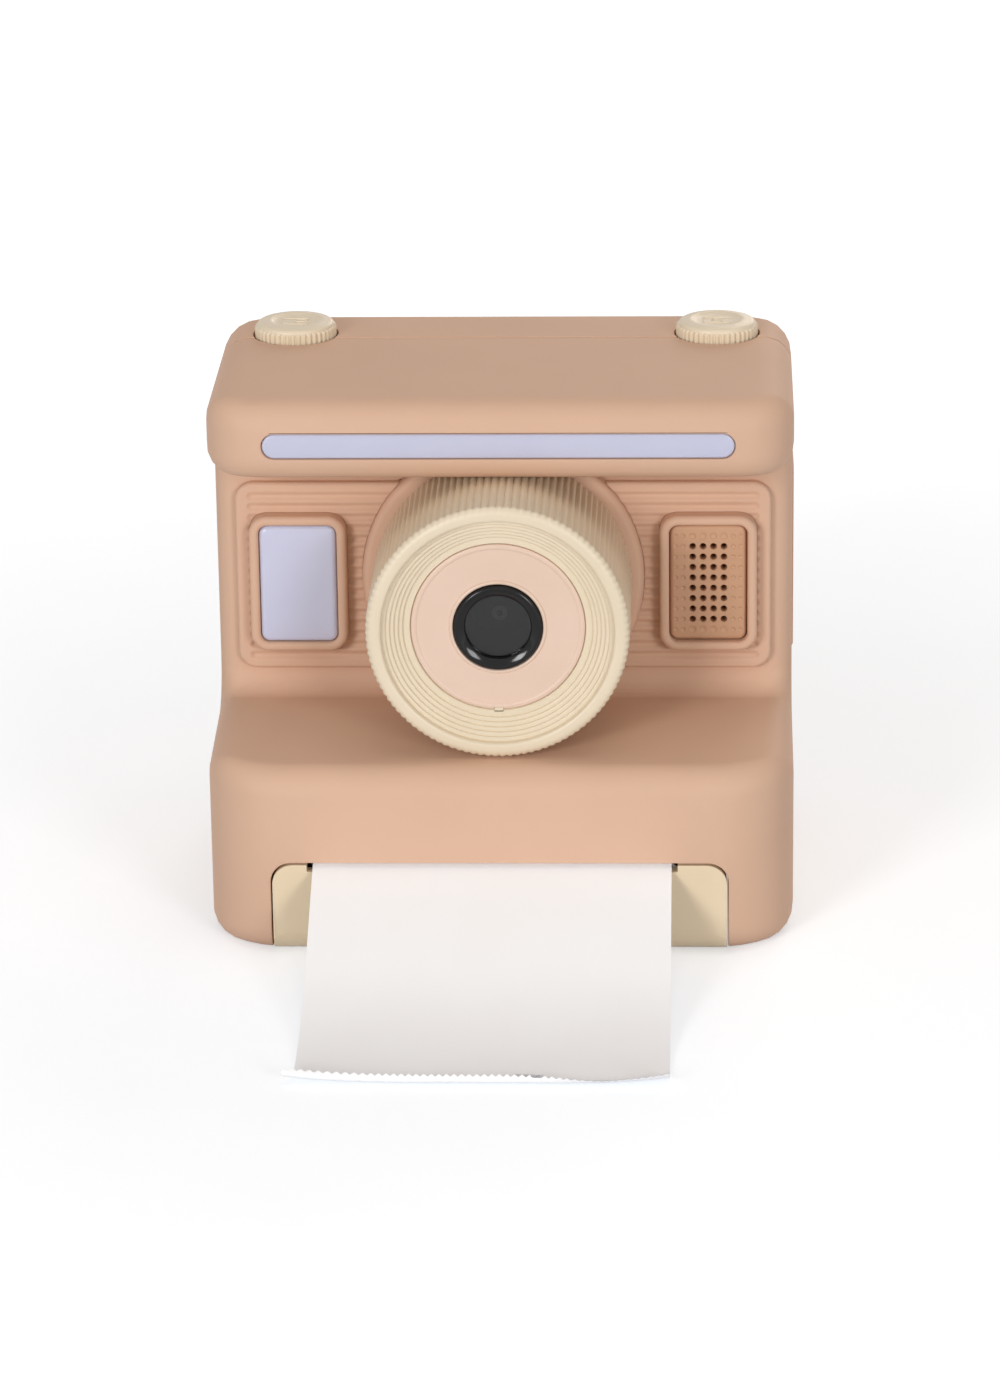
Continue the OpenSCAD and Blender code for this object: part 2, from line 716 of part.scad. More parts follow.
module speaker_bezel() color(peach) at_frame(1) window_frame();
module speaker_grille() color(peach) at_frame(1) difference() {
    front = face_y - frame_t + grille_inset;
    mouth_plate(grille_inset);
    slab_y(front + grille_t, face_y + over)
        rounded(frame_mouth_w - 2 * grille_t, frame_mouth_h - 2 * grille_t, window_corner / 2);
    for (side = [-1, 1], i = [0:len(column_shares) - 1], j = [0:dimple_rows - 1])
        let (z = (j - (dimple_rows - 1) / 2) * hole_rise, wide = i < open_columns)
        let (through = wide && abs(z) < hole_rows * hole_rise / 2)
        translate([side * column_shares[i] * hole_pitch, 0, z])
            rod_y(front - over, front + (through ? grille_t + over : dimple_depth),
                hole_d / 2 * (wide ? 1 : dimple_share));
}
module speaker_driver() color(black) at_frame(1) difference() {
    slab_y(face_in, face_in + speaker_t) rounded(speaker_w, speaker_h, window_corner);
    rod_y(face_in - over, face_in + cone_depth, cone_r);
}

module lens_flange() color(peach) difference() {
    lens_turn() polygon(concat([[spigot_r + fit, face_in], [spigot_r + fit, flange_y]],
        [for (i = [0:corner_steps]) let (a = 90 * i / corner_steps)
            [flange_d / 2 - flange_round + flange_round * sin(a),
                flange_y + flange_round - flange_round * cos(a)]],
        [[flange_d / 2, face_y], [collar_r, face_y], [collar_r, face_in]]));
    difference() {
        casing(0);
        translate([0, 0, lens_z]) rod_y(base_y - over, back_y + over, collar_r);
    }
}

module lens_ring() color(cream) {
    step = (mouth_d - disc_d) / 2 / funnel_steps;
    drop = (disc_depth - disc_t) / funnel_steps;
    web_y = disc_y + web_t;
    lens_turn() polygon(concat(
        [for (i = [0:corner_steps]) let (a = 90 * i / corner_steps)
            [barrel_r - rim_round + rim_round * sin(a), lens_y + rim_round - rim_round * cos(a)]],
        [[barrel_r, barrel_back], [spigot_r, barrel_back], [spigot_r, face_in + gap + retainer_t],
         [spigot_r - spigot_wall, face_in + gap + retainer_t], [spigot_r - spigot_wall, barrel_back - wall],
         [barrel_r - barrel_wall, barrel_back - wall], [barrel_r - barrel_wall, web_y],
         [bezel_r + gap, web_y], [bezel_r + gap, disc_y]],
        [for (i = [funnel_steps:-1:1]) each [
            [mouth_d / 2 - i * step, i == funnel_steps ? disc_y : lens_y + i * drop],
            [mouth_d / 2 - i * step, lens_y + (i - 1) * drop + rib_sink]]],
        [[mouth_d / 2, lens_y + rib_sink], [mouth_d / 2 + rib_sink, lens_y]]));
    translate([0, 0, lens_z]) slab_y(lens_y + rim_round, barrel_back - gap) difference() {
        rib_star(barrel_r - rib_sink, barrel_d / 2, barrel_ribs);
        circle(barrel_r - 2 * rib_sink);
    }
}

module lens_retainer() color(black) lens_turn()
    translate([spigot_r + fit, face_in + gap]) square([retainer_r - spigot_r - fit, retainer_t]);

module lens_disc() color(blush) lens_turn() difference() {
    union() {
        translate([0, disc_y - disc_t]) square([disc_d / 2 - fit, disc_t]);
        translate([disc_d / 2 - fit - disc_edge_w, disc_y - disc_t - disc_edge])
            square([disc_edge_w, disc_edge + disc_t]);
    }
    translate([0, disc_y - disc_t - over]) square([bezel_r + gap, disc_t + 2 * over]);
}

module lens_tube() color(black) lens_turn() polygon([[tube_r, tube_front], [tube_r, cup_y],
    [cup_in_r, cup_y], [cup_in_r, face_in], [cup_r, face_in], [cup_r, cup_y + cup_t],
    [camera_eye_r, cup_y + cup_t],
    [camera_eye_r, camera_back], [tube_r - tube_wall, camera_back], [tube_r - tube_wall, tube_front]]);

module lens_bezel() color(black) lens_turn() difference() {
    union() {
        translate([bezel_r - bezel_wall, disc_y - bezel_proud]) circle(bezel_wall);
        translate([tube_r + fit, disc_y - bezel_proud])
            square([bezel_r - tube_r - fit, tube_front + bezel_lap - disc_y + bezel_proud]);
        translate([bezel_r - 2 * bezel_wall, disc_y - bezel_proud])
            square([2 * bezel_wall, tube_front - eye_t - disc_y + bezel_proud]);
    }
    translate([0, tube_front - eye_t]) square([tube_r + fit, bezel_lap + eye_t + over]);
}

module lens_window() color("#3b3b3e") lens_turn() translate([0, tube_front - eye_t])
    square([tube_r, eye_t]);

module camera_module() color(black) translate([0, 0, lens_z]) {
    box([-camera_w / 2, camera_back - camera_depth, -camera_w / 2],
        [camera_w / 2, camera_back, camera_w / 2]);
    rod_y(camera_back - camera_depth - camera_eye_len, camera_back - camera_depth, camera_eye_r);
}

// Top button: ribbed drum with a dished cap, a flange under the casing and a stem to its switch
module top_button(side) color(cream) at_button(side) {
    top_z = body_h + button_proud;
    core_r = button_r - knurl_h;
    difference() {
        rotate_extrude() union() {
            polygon(concat([[0, stem_low], [button_stem_r, stem_low],
                [button_stem_r, flange_top - button_flange_t],
                [button_r + button_flange, flange_top - button_flange_t],
                [button_r + button_flange, flange_top],
                [core_r, flange_top]],
                [for (i = [0:corner_steps]) let (a = 90 * i / corner_steps)
                    [core_r - button_wear + button_wear * cos(a),
                        top_z - button_wear + button_wear * sin(a)]],
                [[0, top_z]]));
        }
        translate([0, 0, top_z - button_dish])
            cylinder(h = button_dish + over, r = core_r * button_dish_share);
    }
    knurl_len = top_z - button_wear - flange_top + gap;
    translate([0, 0, flange_top - gap]) linear_extrude(knurl_len) difference() {
        rib_star(core_r - rib_sink, button_r, button_ribs);
        circle(core_r - 2 * rib_sink);
    }
}
module shutter_button() top_button(1);
module playback_button() top_button(-1);

// Push switch with its plunger, standing on a board along +Z
module push_switch() {
    translate([0, 0, switch_h / 2]) cube([switch_w, switch_w, switch_h], center = true);
    translate([0, 0, switch_h]) cylinder(h = switch_pin_h, r = switch_pin_r);
}

module button_board() color(green) {
    box([gap - side_in, button_y - strip_d / 2, strip_z],
        [side_in - gap, button_y + strip_d / 2, strip_z + board_t]);
    for (side = [-1, 1]) at_button(side) translate([0, 0, strip_z + board_t]) push_switch();
}

module rear_button(i) color(cream) at_key(i) {
    cap = key_d / 2;
    flange_y1 = back_in - gap;
    difference() {
        rod_y(flange_y1 - key_flange_t, back_y + key_proud, cap);
        translate([0, back_y + key_proud - key_dish + key_dish_r, 0]) sphere(key_dish_r);
    }
    rod_y(flange_y1 - key_flange_t, flange_y1, cap + key_flange);
    rod_y(flange_y1 - key_flange_t - key_stem_len, flange_y1 - key_flange_t, key_stem_r);
}
module menu_button() rear_button(0);
module left_button() rear_button(1);
module ok_button() rear_button(2);
module right_button() rear_button(3);
module power_button() rear_button(4);

module rear_button_board() color(green) {
    box([-key_board_w / 2, key_board_y, key_z - key_board_h / 2],
        [key_board_w / 2, key_board_y + board_t, key_z + key_board_h / 2]);
    for (i = [0:key_count - 1]) at_key(i) translate([0, key_board_y + board_t, 0])
        rotate([-90, 0, 0]) push_switch();
}

module main_board() color(green) {
    translate([0, main_y, lens_z]) {
        box([-main_w / 2, 0, -main_h / 2], [main_w / 2, main_t, main_h / 2]);
        box([main_w / 2 - over, 0, socket_z - lens_z - tab_h / 2],
            [side_in - gap, main_t, socket_z - lens_z + tab_h / 2]);
        box([-chip_w / 2, -chip_t, -chip_w / 2], [chip_w / 2, 0, chip_w / 2]);
    }
}

module battery() color(steel) translate([0, 0, lens_z])
    slab_y(main_y + main_t, main_y + main_t + battery_t) rounded(battery_w, battery_h, battery_edge);

module screen_module() color(black) translate([0, 0, screen_z])
    slab_y(back_in - screen_t, back_in) rounded(screen_w, screen_h, screen_rim);

module screen_window() color("#26282c") translate([0, 0, screen_z])
    slab_y(back_y - window_t, back_y) rounded(window_w, window_h, screen_corner - fit);

module usb_socket() color(steel) translate([0, port_y, socket_z]) difference() {
    slab_x(side_in - socket_len, side_in) rounded(socket_h, socket_w, socket_h / 2);
    slab_x(side_in - socket_len + socket_wall, side_in + over)
        rounded(socket_h - 2 * socket_wall, socket_w - 2 * socket_wall, socket_h / 2 - socket_wall);
}

// Flap with a rolled foot that turns in its pocket
module port_cover() color(peach) translate([0, port_y, cover_low_z + cover_round]) intersection() {
    slab_y(-cover_w, cover_w) translate([half_w + cover_proud - cover_round, 0]) {
        circle(cover_round);
        translate([-cover_round, 0]) square([2 * cover_round, cover_h - cover_round]);
    }
    slab_x(side_in, half_w + over) door_outline(cover_w, cover_h - cover_round, cover_corner);
}

module printer_frame() color(black) difference() {
    rear = roll_y + roll_r + gap;
    top = roll_z + roll_r + gap;
    front = platen_y - platen_r;
    nose_low = platen_z + shaft_r + nose_room;
    nose_top = shelf_h - wall - nose_room;
    middle = roll_y - roll_r - nose_room;
    top_front = roll_y + frame_top_in;
    barrel = door_w / 2 - knuckle_len - 2 * gap;
    union() {
        both() {
            box([plate_in, front, nose_low], [plate_out, top_front + over, nose_top]);
            box([plate_in, middle, frame_low_z], [plate_out, rear + frame_rear_t, nose_top]);
            box([plate_in, top_front, frame_low_z], [plate_out, rear + frame_rear_t, top + frame_top_t]);
            translate([0, roll_y, roll_z]) rod_x(paper_w / 2 - 2 * core_wall, plate_in + fit, core_r - gap);
            box([plate_in, roll_y + roll_r / 2, top], [side_in - fit, rear, top + frame_top_t]);
            box([barrel - knuckle_len, rear, frame_low_z],
                [barrel, hinge_y + pin_r, frame_low_z + frame_top_t]);
            box([barrel - knuckle_len, hinge_y - pin_r - gap, hinge_z],
                [barrel, hinge_y + pin_r + gap, frame_low_z + gap]);
        }
        box([-plate_out, rear, frame_low_z], [plate_out, rear + frame_rear_t, top + frame_top_t]);
        box([-plate_out, top_front, top], [plate_out, rear + frame_rear_t, top + frame_top_t]);
        translate([0, hinge_y, hinge_z]) rod_x(-barrel, barrel, knuckle_r);
        translate([0, idler_y, idler_z]) rod_x(plate_out - over, gear_out + gap, pin_r);
        for (turn = [-standoff_turn, standoff_turn]) translate([0,
            motor_y + (motor_r - standoff_r) * cos(turn),
            motor_z + (motor_r - standoff_r) * sin(turn)]) rod_x(plate_out - over, motor_in, standoff_r);
    }
    translate([0, hinge_y, hinge_z]) rod_x(-door_w, door_w, pin_r + fit);
}

module print_head() color(steel) translate([0, nip_y, nip_z]) rotate([feed_angle, 0, 0]) {
    box([-plate_in, -head_front, paper_t + gap + head_strip_t],
        [plate_in, head_len - head_front, paper_t + gap + head_strip_t + head_t]);
    box([-paper_w / 2, -head_strip_w / 2, paper_t + gap],
        [paper_w / 2, head_strip_w / 2, paper_t + gap + head_strip_t]);
}

module head_spring() color(steel) translate([0, nip_y, nip_z]) rotate([feed_angle, 0, 0]) {
    top = paper_t + gap + head_strip_t + head_t;
    box([-spring_w / 2, -head_front, top], [spring_w / 2, head_len - 2 * head_front, top + spring_t]);
}

module print_motor() color(steel) translate([0, motor_y, motor_z]) difference() {
    rod_x(motor_in, motor_in + motor_len, motor_r);
    rod_x(motor_in - over, motor_in + motor_len / 2, motor_shaft_r + fit);
}

module motor_pinion() color(white) {
    gear_at(motor_y, motor_z, pinion_teeth, pinion_turn, 0);
    translate([0, motor_y, motor_z]) rod_x(gear_in, motor_in + motor_len / 2 - gap, motor_shaft_r);
}

module idler_gear() color(white) gear_at(idler_y, idler_z, idler_teeth, idler_turn, pin_r + fit);

module platen_roller() color("#3a3a3c") translate([0, platen_y, platen_z]) {
    rod_x(-platen_len / 2, platen_len / 2, platen_r);
    rod_x(-ear_out, gear_out, shaft_r);
}

module platen_gear() color(white) gear_at(platen_y, platen_z, platen_teeth, idler_dir, shaft_r + fit);

module paper_roll() color(white) translate([paper_shift, roll_y, roll_z]) difference() {
    rod_x(-paper_w / 2, paper_w / 2, roll_r);
    rod_x(-paper_w / 2 - over, paper_w / 2 + over, core_r);
}

// Side line of the paper from the roll to its curled end, lifted by the given amount
function paper_line(lift) =
    let (steep = feed_angle + 180, along = [cos(steep), sin(steep)], up = [sin(steep), -cos(steep)])
    let (start = [roll_y, roll_z] + (roll_r + gap) * up)
    let (drop = start[1] - table_clear - table_bend_r * (1 - cos(feed_angle)))
    let (bend = start + along * drop / sin(feed_angle) + table_bend_r * up)
    let (curl = [bend[0] - paper_flat, table_clear + curl_r])
    concat([start + lift * up],
        [for (i = [0:bend_steps]) let (a = steep - feed_angle * i / bend_steps)
            bend - (table_bend_r - lift) * [sin(a), -cos(a)]],
        [for (i = [0:bend_steps]) let (a = 180 - curl_angle * i / bend_steps)
            curl - (curl_r - lift) * [sin(a), -cos(a)]]);

module paper_strip() color(white) translate([paper_shift, 0, 0]) {
    line = paper_line(0);
    tip_y = line[len(line) - 1][0];
    teeth = floor(paper_w / tear_pitch);
    difference() {
        slab_x(-paper_w / 2, paper_w / 2)
            polygon(concat(line, [for (i = [len(line) - 1:-1:0]) paper_line(paper_t)[i]]));
        translate([0, 0, -over]) linear_extrude(curl_r) for (i = [0:teeth - 1])
            translate([(i + 0.5) * paper_w / teeth - paper_w / 2, tip_y])
                polygon([[-tear_pitch / 2, -over], [-tear_pitch / 2, 0], [0, tear_depth],
                    [tear_pitch / 2, 0],
                    [tear_pitch / 2, -over]]);
    }
}

module paper_door() color(cream) {
    w = door_w - 2 * door_gap;
    h = door_h - door_gap;
    inner = base_edge - wall;
    ear = 1.8 * shaft_r;
    knuckle = w / 2 - knuckle_len;
    difference() {
        union() {
            intersection() {
                slab_x(-w / 2, w / 2) polygon(concat([[base_y, h + over], [base_y, base_edge]],
                    [for (i = [1:corner_steps]) let (a = 180 + 90 * i / corner_steps)
                        [base_y + base_edge + base_edge * cos(a), base_edge + base_edge * sin(a)]],
                    [[hinge_y, 0], [hinge_y, wall]],
                    [for (i = [corner_steps:-1:0]) let (a = 180 + 90 * i / corner_steps)
                        [base_y + base_edge + inner * cos(a), base_edge + inner * sin(a)]],
                    [[base_y + wall, h + over]]));
                slab_y(base_y - over, hinge_y + over) door_outline(w, h, door_corner);
                translate([0, 0, -over]) linear_extrude(door_h + over) rounded(body_w, body_d, base_corner);
            }
            both() {
                translate([0, hinge_y, hinge_z]) rod_x(knuckle, w / 2, knuckle_r);
                translate([0, platen_y, platen_z]) rod_x(ear_in, ear_out, 2 * shaft_r);
                box([ear_in, platen_y - ear, wall / 2], [ear_out, platen_y + ear, platen_z]);
            }
        }
        box([-knuckle, hinge_y - knuckle_r - gap, -over], [knuckle, hinge_y + over, wall + over]);
        translate([0, hinge_y, hinge_z]) rod_x(-door_w, door_w, pin_r + fit);
        translate([0, platen_y, platen_z]) rod_x(-door_w, door_w, shaft_r + fit);
        slab_y(base_y - over, base_y + wall + over) translate([paper_shift - notch_w / 2, h - notch_depth])
            square([notch_w, notch_depth + over]);
    }
}

module tear_bar() color(steel) {
    teeth = floor(paper_w / tear_pitch);
    pitch = paper_w / teeth;
    top = door_h - door_gap - notch_depth;
    slab_y(base_y + wall, base_y + wall + tear_t) polygon(concat(
        [[-paper_w / 2, top - tear_h], [paper_w / 2, top - tear_h], [paper_w / 2, top]],
        [for (i = [teeth - 1:-1:0]) each [[(i + 0.5) * pitch - paper_w / 2, top + tear_depth],
            [i * pitch - paper_w / 2, top]]]));
}

module hinge_pin() color(steel) translate([0, hinge_y, hinge_z])
    rod_x(-door_w / 2 + 2 * door_gap, door_w / 2 - 2 * door_gap, pin_r);

front_shell();
rear_shell();
shell_screws();
left_panel();
right_panel();
light_strip();
light_board();
flash_bezel();
flash_window();
flash_board();
speaker_bezel();
speaker_grille();
speaker_driver();
lens_flange();
lens_ring();
lens_retainer();
lens_disc();
lens_tube();
lens_bezel();
lens_window();
camera_module();
shutter_button();
playback_button();
button_board();
menu_button();
left_button();
ok_button();
right_button();
power_button();
rear_button_board();
main_board();
battery();
screen_module();
screen_window();
usb_socket();
port_cover();
printer_frame();
print_head();
head_spring();
print_motor();
motor_pinion();
idler_gear();
platen_roller();
platen_gear();
paper_roll();
paper_strip();
paper_door();
tear_bar();
hinge_pin();
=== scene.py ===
from math import atan, cos, pi, radians, sin, sqrt

import bmesh
import bpy
from mathutils import Matrix, Vector


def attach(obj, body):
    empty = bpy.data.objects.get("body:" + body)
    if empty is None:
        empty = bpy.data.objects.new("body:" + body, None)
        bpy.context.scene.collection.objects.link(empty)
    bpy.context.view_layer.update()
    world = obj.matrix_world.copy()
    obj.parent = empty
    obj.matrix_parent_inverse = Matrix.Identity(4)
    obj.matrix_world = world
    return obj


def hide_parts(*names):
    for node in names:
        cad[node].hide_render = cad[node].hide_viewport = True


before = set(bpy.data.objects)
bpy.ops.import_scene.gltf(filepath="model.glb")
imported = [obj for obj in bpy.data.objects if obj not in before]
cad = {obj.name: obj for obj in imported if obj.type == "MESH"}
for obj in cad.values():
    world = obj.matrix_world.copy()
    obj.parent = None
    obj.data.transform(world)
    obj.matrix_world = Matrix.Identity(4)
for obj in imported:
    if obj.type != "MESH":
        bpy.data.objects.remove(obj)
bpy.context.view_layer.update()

# Viewpoint: a long lens a little above the toy and in front of it, tilted down and
# turned slightly to the left, worked out from the outline and the ellipses of the lens.
MM = 0.001
camera_place_mm = (32.4, -824.0, 329.4)
image_w, image_h = 1000, 1400
focal_px = 5450
aim_px = 707
sensor_mm = 36
tilt_deg = 70

lens = bpy.data.cameras.new("viewpoint")
lens.sensor_width = sensor_mm
lens.lens = focal_px / image_h * sensor_mm
viewpoint = bpy.data.objects.new("viewpoint", lens)
tilt = Matrix.Rotation(radians(tilt_deg), 4, "X")
turn = Matrix.Rotation(atan((aim_px - image_w / 2) / focal_px), 4, "Y")
viewpoint.matrix_world = Matrix.Translation(Vector(camera_place_mm) * MM) @ tilt @ turn
bpy.context.scene.collection.objects.link(viewpoint)
bpy.context.scene.camera = viewpoint
bpy.context.scene.view_settings.view_transform = "Standard"


# Studio: a white paper sweep under the toy, soft boxes in front on the left and right, slightly
# warm ones overhead and behind, and the pale walls of the room all round.
def linear(hex_colour):
    """sRGB hex to linear RGBA."""
    parts = [int(hex_colour[i:i + 2], 16) / 255 for i in (1, 3, 5)]
    return [c / 12.92 if c <= 0.04045 else ((c + 0.055) / 1.055) ** 2.4 for c in parts] + [1]


def add(tree, kind, setup={}, links={}):
    """A node with its settings, which are inputs or properties, and the outputs that feed it."""
    node = tree.nodes.new(kind)
    for name, value in setup.items():
        if isinstance(name, int) or name in node.inputs:
            node.inputs[name].default_value = value
        else:
            setattr(node, name, value)
    for name, source in links.items():
        tree.links.new(source, node.inputs[name])
    return node


def new_material(name):
    """An empty material and the tree for its nodes."""
    material = bpy.data.materials.new(name)
    material.use_nodes = True
    material.node_tree.nodes.clear()
    return material, material.node_tree


def seen_directly(tree):
    """1 for rays from the camera, a reflection or a clear window, and 0 for light on the toy."""
    path = add(tree, "ShaderNodeLightPath")
    first = add(tree, "ShaderNodeMath", {"operation": "MAXIMUM"},
                {0: path.outputs["Is Camera Ray"], 1: path.outputs["Is Glossy Ray"]})
    return add(tree, "ShaderNodeMath", {"operation": "MAXIMUM"},
               {0: first.outputs[0], 1: path.outputs["Is Transmission Ray"]}).outputs[0]


room_level = 0.3
world = bpy.data.worlds.new("studio_room")
bpy.context.scene.world = world
world.use_nodes = True
tree = world.node_tree
tree.nodes.clear()
level = add(tree, "ShaderNodeMapRange", {"To Min": room_level, "To Max": 1.0},
            {"Value": seen_directly(tree)})
room = add(tree, "ShaderNodeBackground", {"Color": linear("#ffffff")}, {"Strength": level.outputs[0]})
add(tree, "ShaderNodeOutputWorld", {}, {"Surface": room.outputs[0]})

sweep_half_m = 6
sweep_glow_near, sweep_glow_far = 0.45, 0.85
glow_from_m, glow_to_m = 0.1, 0.6
fibre_mm = 2  # coarser than real fibres, so that they show
sweep_corners = [(x * sweep_half_m, y * sweep_half_m, 0) for x, y in ((-1, -1), (1, -1), (1, 1), (-1, 1))]
sweep_mesh = bpy.data.meshes.new("paper_sweep")
sweep_mesh.from_pydata(sweep_corners, [], [(0, 1, 2, 3)])
sweep = bpy.data.objects.new("paper_sweep", sweep_mesh)
bpy.context.scene.collection.objects.link(sweep)
material, tree = new_material("matt_white_sweep_paper")
fibres = add(tree, "ShaderNodeTexNoise", {"Scale": 1 / (fibre_mm * MM), "Detail": 4})
fibre_tone = add(tree, "ShaderNodeValToRGB", {}, {"Fac": fibres.outputs["Fac"]})
fibre_tone.color_ramp.elements[0].color = linear("#dfe3e8")
fibre_tone.color_ramp.elements[1].color = linear("#e3e7ec")
spot = add(tree, "ShaderNodeTexCoord").outputs["Object"]
away = add(tree, "ShaderNodeVectorMath", {"operation": "LENGTH"}, {0: spot})
sweep_level = add(tree, "ShaderNodeMapRange", {"From Min": glow_from_m, "From Max": glow_to_m,
                                               "To Min": sweep_glow_near, "To Max": sweep_glow_far},
                  {"Value": away.outputs["Value"]})
glow = add(tree, "ShaderNodeMath", {"operation": "MULTIPLY"},
           {0: seen_directly(tree), 1: sweep_level.outputs[0]})
paper = add(tree, "ShaderNodeBsdfPrincipled",
            {"Roughness": 0.9, "Specular IOR Level": 0.1, "Emission Color": linear("#ffffff")},
            {"Base Color": fibre_tone.outputs["Color"], "Emission Strength": glow.outputs[0]})
add(tree, "ShaderNodeOutputMaterial", {}, {"Surface": paper.outputs[0]})
sweep_mesh.materials.append(material)

# name, place in metres, width and height in metres, watts, colour
soft_boxes = (
    ("left_soft_box", (-0.9, -1.6, 0.6), 0.5, 0.5, 14.2, "#ffffff"),
    ("right_soft_box", (0.9, -1.6, 0.5), 0.5, 0.5, 9.8, "#ffffff"),
    ("top_soft_box", (0.15, -0.1, 1.5), 0.9, 0.9, 3.6, "#fff1e2"),
    ("rear_soft_box", (0.5, 1.7, 0.8), 0.8, 0.8, 6.5, "#fff0e2"),
)
toy_middle = Vector((0, 0, 0.045))
for name, place, width, height, watts, colour in soft_boxes:
    lamp = bpy.data.lights.new(name, "AREA")
    lamp.shape = "RECTANGLE"
    lamp.size, lamp.size_y = width, height
    lamp.energy = watts
    lamp.color = linear(colour)[:3]
    box = bpy.data.objects.new(name, lamp)
    box.location = place
    box.rotation_euler = (toy_middle - Vector(place)).to_track_quat("-Z", "Y").to_euler()
    bpy.context.scene.collection.objects.link(box)


# Front and rear shells and lens collar: injection mouldings in ABS with a soft-touch lacquer. The shells
# are screwed together from behind, and the collar stands on the face round the barrel.
# The lacquer gives a dry, even satin with a fine grain and no hard glints.
def moulded(name, tone, shade, roughness, grain_mm, relief_mm, patch_mm, ior=1.46, setup={}):
    """A moulded or rolled material: two close tones in soft patches, and grain in its gloss and relief.

    Grain finer than 1 mm is drawn at 0.3 to 0.6 mm, coarser than the real 0.1 to 0.2 mm, so that it shows.
    """
    patch_low, patch_high, gloss_spread = 0.35, 0.65, 0.05
    material, tree = new_material(name)
    place = add(tree, "ShaderNodeTexCoord").outputs["Object"]
    patches = add(tree, "ShaderNodeTexNoise", {"Scale": 1 / (patch_mm * MM), "Detail": 3},
                  {"Vector": place})
    tones = add(tree, "ShaderNodeValToRGB", {}, {"Fac": patches.outputs["Fac"]})
    low, high = tones.color_ramp.elements
    low.position, low.color = patch_low, linear(shade)
    high.position, high.color = patch_high, linear(tone)
    grain = add(tree, "ShaderNodeTexNoise", {"Scale": 1 / (grain_mm * MM), "Detail": 2},
                {"Vector": place})
    gloss = add(tree, "ShaderNodeMapRange",
                {"To Min": roughness - gloss_spread, "To Max": roughness + gloss_spread},
                {"Value": grain.outputs["Fac"]})
    relief = add(tree, "ShaderNodeBump", {"Strength": 1.0, "Distance": relief_mm * MM},
                 {"Height": grain.outputs["Fac"]})
    surface = add(tree, "ShaderNodeBsdfPrincipled", {"IOR": ior, **setup},
                  {"Base Color": tones.outputs["Color"], "Roughness": gloss.outputs[0],
                   "Normal": relief.outputs[0]})
    add(tree, "ShaderNodeOutputMaterial", {}, {"Surface": surface.outputs[0]})
    return material


weld_mm = 0.001


def soft_normals(limit_deg):
    """Modifier group that joins the facets of a CAD solid and smooths edges flatter than the limit."""
    group = bpy.data.node_groups.new(f"soft_normals_{limit_deg}", "GeometryNodeTree")
    for way in ("INPUT", "OUTPUT"):
        group.interface.new_socket("Geometry", in_out=way, socket_type="NodeSocketGeometry")
    start = add(group, "NodeGroupInput")
    joined = add(group, "GeometryNodeMergeByDistance", {"Distance": weld_mm * MM},
                 {"Geometry": start.outputs[0]})
    plain = add(group, "GeometryNodeRemoveAttribute", {"Name": "custom_normal"},
                {"Geometry": joined.outputs[0]})
    smooth = add(group, "GeometryNodeSetShadeSmooth", {"domain": "FACE", "Shade Smooth": True},
                 {"Geometry": plain.outputs[0]})
    angle = add(group, "GeometryNodeInputMeshEdgeAngle")
    sharp = add(group, "FunctionNodeCompare", {"operation": "GREATER_THAN", 1: radians(limit_deg)},
                {0: angle.outputs["Unsigned Angle"]})
    flat = add(group, "GeometryNodeSetShadeSmooth", {"domain": "EDGE", "Shade Smooth": False},
               {"Geometry": smooth.outputs[0], "Selection": sharp.outputs[0]})
    add(group, "NodeGroupOutput", {}, {0: flat.outputs[0]})
    return group


facet_join = soft_normals(limit_deg=27)


def true_flats(made):
    """Shades flat faces flat and leaves the bending to the rounded edges between them."""
    flats = made.modifiers.new("true_flats", "WEIGHTED_NORMAL")
    flats.keep_sharp = True
    flats.weight = 80


def finish_cad(material, *names):
    """Gives CAD nodes their finish and smooth shading."""
    for name in names:
        solid = cad[name]
        solid.data.materials.clear()
        solid.data.materials.append(material)
        solid.modifiers.new("soft_normals", "NODES").node_group = facet_join
        true_flats(solid)


# The facets of each flat are made one face before its edges are eased by this much, so that no slivers form
edge_ease = {"front_shell": 0.3, "rear_shell": 0.12}
flat_deg, edge_deg = 0.2, 50
soft_touch = moulded("soft_touch_lacquer_on_abs", "#d9b399", "#d6b096", roughness=0.6,
                     grain_mm=0.5, relief_mm=0.011, patch_mm=22, setup={"Specular IOR Level": 0.3})
for name, ease in edge_ease.items():
    cad[name].modifiers.new("joined_facets", "WELD").merge_threshold = weld_mm * MM
    whole = cad[name].modifiers.new("whole_flats", "DECIMATE")
    whole.decimate_type, whole.angle_limit = "DISSOLVE", radians(flat_deg)
    eased = cad[name].modifiers.new("eased_edges", "BEVEL")
    eased.limit_method, eased.angle_limit = "ANGLE", radians(edge_deg)
    eased.width, eased.segments, eased.use_clamp_overlap = ease * MM, 3, False
finish_cad(soft_touch, "front_shell", "rear_shell", "lens_flange")

# Casing screws: zinc-plated steel, driven from behind into the bosses of the front shell.
# Plating leaves a cool grey with a fine, slightly patchy sheen. The charging socket, the case of the
# motor and the hinge pin are plated too.
plated = moulded("zinc_plated_steel", "#c3c6ca", "#b3b6bb", roughness=0.32,
                 grain_mm=0.4, relief_mm=0.002, patch_mm=4, setup={"Metallic": 1.0})
finish_cad(plated, "shell_screws", "usb_socket", "print_motor", "hinge_pin")

